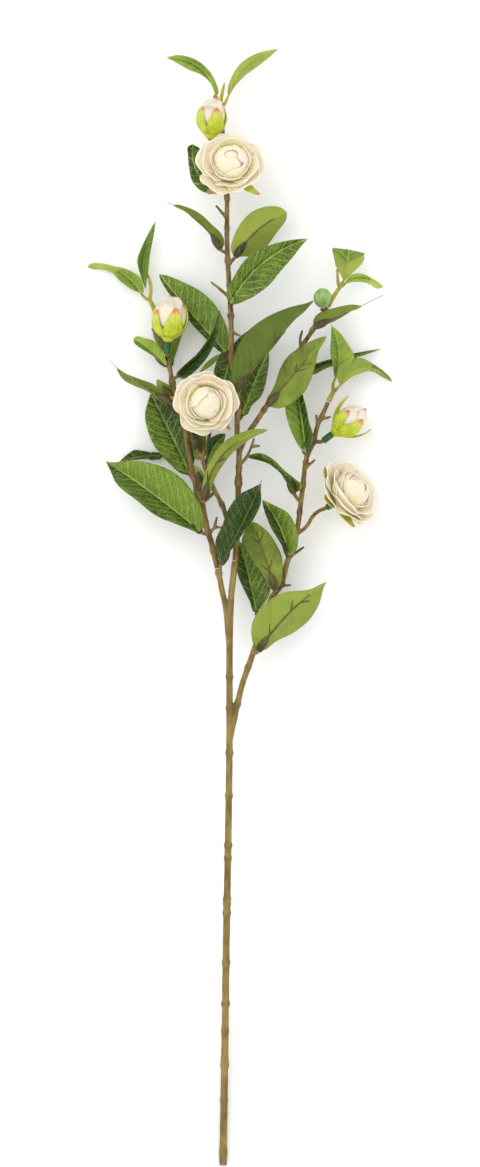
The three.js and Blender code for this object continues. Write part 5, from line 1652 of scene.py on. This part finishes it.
def sleeve(name, flower):
    """The dark green sleeve round a stalk, just under its calyx."""
    top = -2 * GAP - CALYX_LENGTH
    foot = top - SLEEVE_LENGTH
    inner, outer = STALK + GAP, SLEEVE_RADIUS
    profile = [(inner, foot + SLEEVE_EDGE), (inner + SLEEVE_EDGE, foot), (outer - SLEEVE_EDGE, foot),
               (outer, foot + SLEEVE_EDGE), (outer, top - SLEEVE_EDGE), (outer - SLEEVE_EDGE, top),
               (inner + SLEEVE_EDGE, top), (inner, top - SLEEVE_EDGE)]
    piece = Piece(name + "_sleeve_moulding")
    piece.add_piece(turned(profile, sleeve_plastic, closed=True), flower_matrix(flower, 1.0))
    return piece.make("sleeve_plastic", name + "_sleeve")


sleeved = {name: flower for name, flower in (BLOOMS | BUDS).items() if flower["sleeve"]}
for name, flower in sleeved.items():
    sleeve(name, flower)
print("sleeves:", ", ".join(sleeved))

# %% [markdown]
# ## The small bud
# The smallest bud is still closed: a solid green moulding of stained plastic, with the
# overlapping scales of a real camellia bud suggested in low relief. A turned solid whose radius
# swells over each scale is enough for that.

# %% The small bud
BUD_PROFILE = [(0, 0), (2, 0), (4.6, 2.2), (6.4, 5), (7, 8.5), (6.3, 11.4), (4.6, 13.8), (2.4, 15.4), (0, 16)]
BUD_LEVELS = 26
BUD_SIDES = 40
SCALES = 5
SCALE_RELIEF = 0.35
SCALE_TWIST = 0.09  # how far the scales turn with each millimetre
bud_plastic = moulded("small bud plastic", colour(72, 116, 40), colour(158, 184, 110),
                      roughness=0.4, grain=4.0, depth=0.2)


def scales(turns, height):
    """How far the scales stand out, round the bud at a height."""
    return SCALE_RELIEF * np.abs(np.sin(turns * SCALES / 2 + height * SCALE_TWIST))


radii, heights = np.array(BUD_PROFILE).T
levels = np.linspace(0, heights[-1], BUD_LEVELS)
fine_profile = list(zip(np.interp(levels, heights, radii), levels))
small_bud = Piece("bud_small_moulding")
small_bud.add_piece(turned(fine_profile, bud_plastic, BUD_SIDES, swell=scales), flower_matrix(SMALL_BUD, 1.0))
small_bud.make("bud_plastic", "bud_small")
print("small bud scales:", SCALES)

# %% [markdown]
# ## The wire and the table
# The steel wire in the stem only shows at the cut end. Its construction node has the right shape, so
# it stays, and only gets a finish. The table is one large plain sheet, and isn't part of the spray.

# %% Wire and table
TABLE_SIZE = 12.0
TABLE_WHITE = 0.96

steel = moulded("stem wire steel", colour(120, 121, 124), colour(170, 172, 175),
                roughness=0.35, grain=1.0, depth=0.05)
steel.node_tree.nodes["Principled BSDF"].inputs["Metallic"].default_value = 1.0
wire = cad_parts["stem_wire"]
wire.data.materials.clear()
wire.data.materials.append(steel)

table_data = bpy.data.meshes.new("table")
half_table = TABLE_SIZE / 2
corners = [(-half_table, -half_table, 0), (half_table, -half_table, 0), (half_table, half_table, 0),
           (-half_table, half_table, 0)]
table_data.from_pydata(corners, [], [(0, 1, 2, 3)])
table = bpy.data.objects.new("table", table_data)
table_white, _, table_shader = new_finish("white table", roughness=0.9)
table_shader.inputs["Base Color"].default_value = (TABLE_WHITE, TABLE_WHITE, TABLE_WHITE, 1.0)
table_data.materials.append(table_white)
scene.collection.objects.link(table)
print("wire finish:", steel.name)
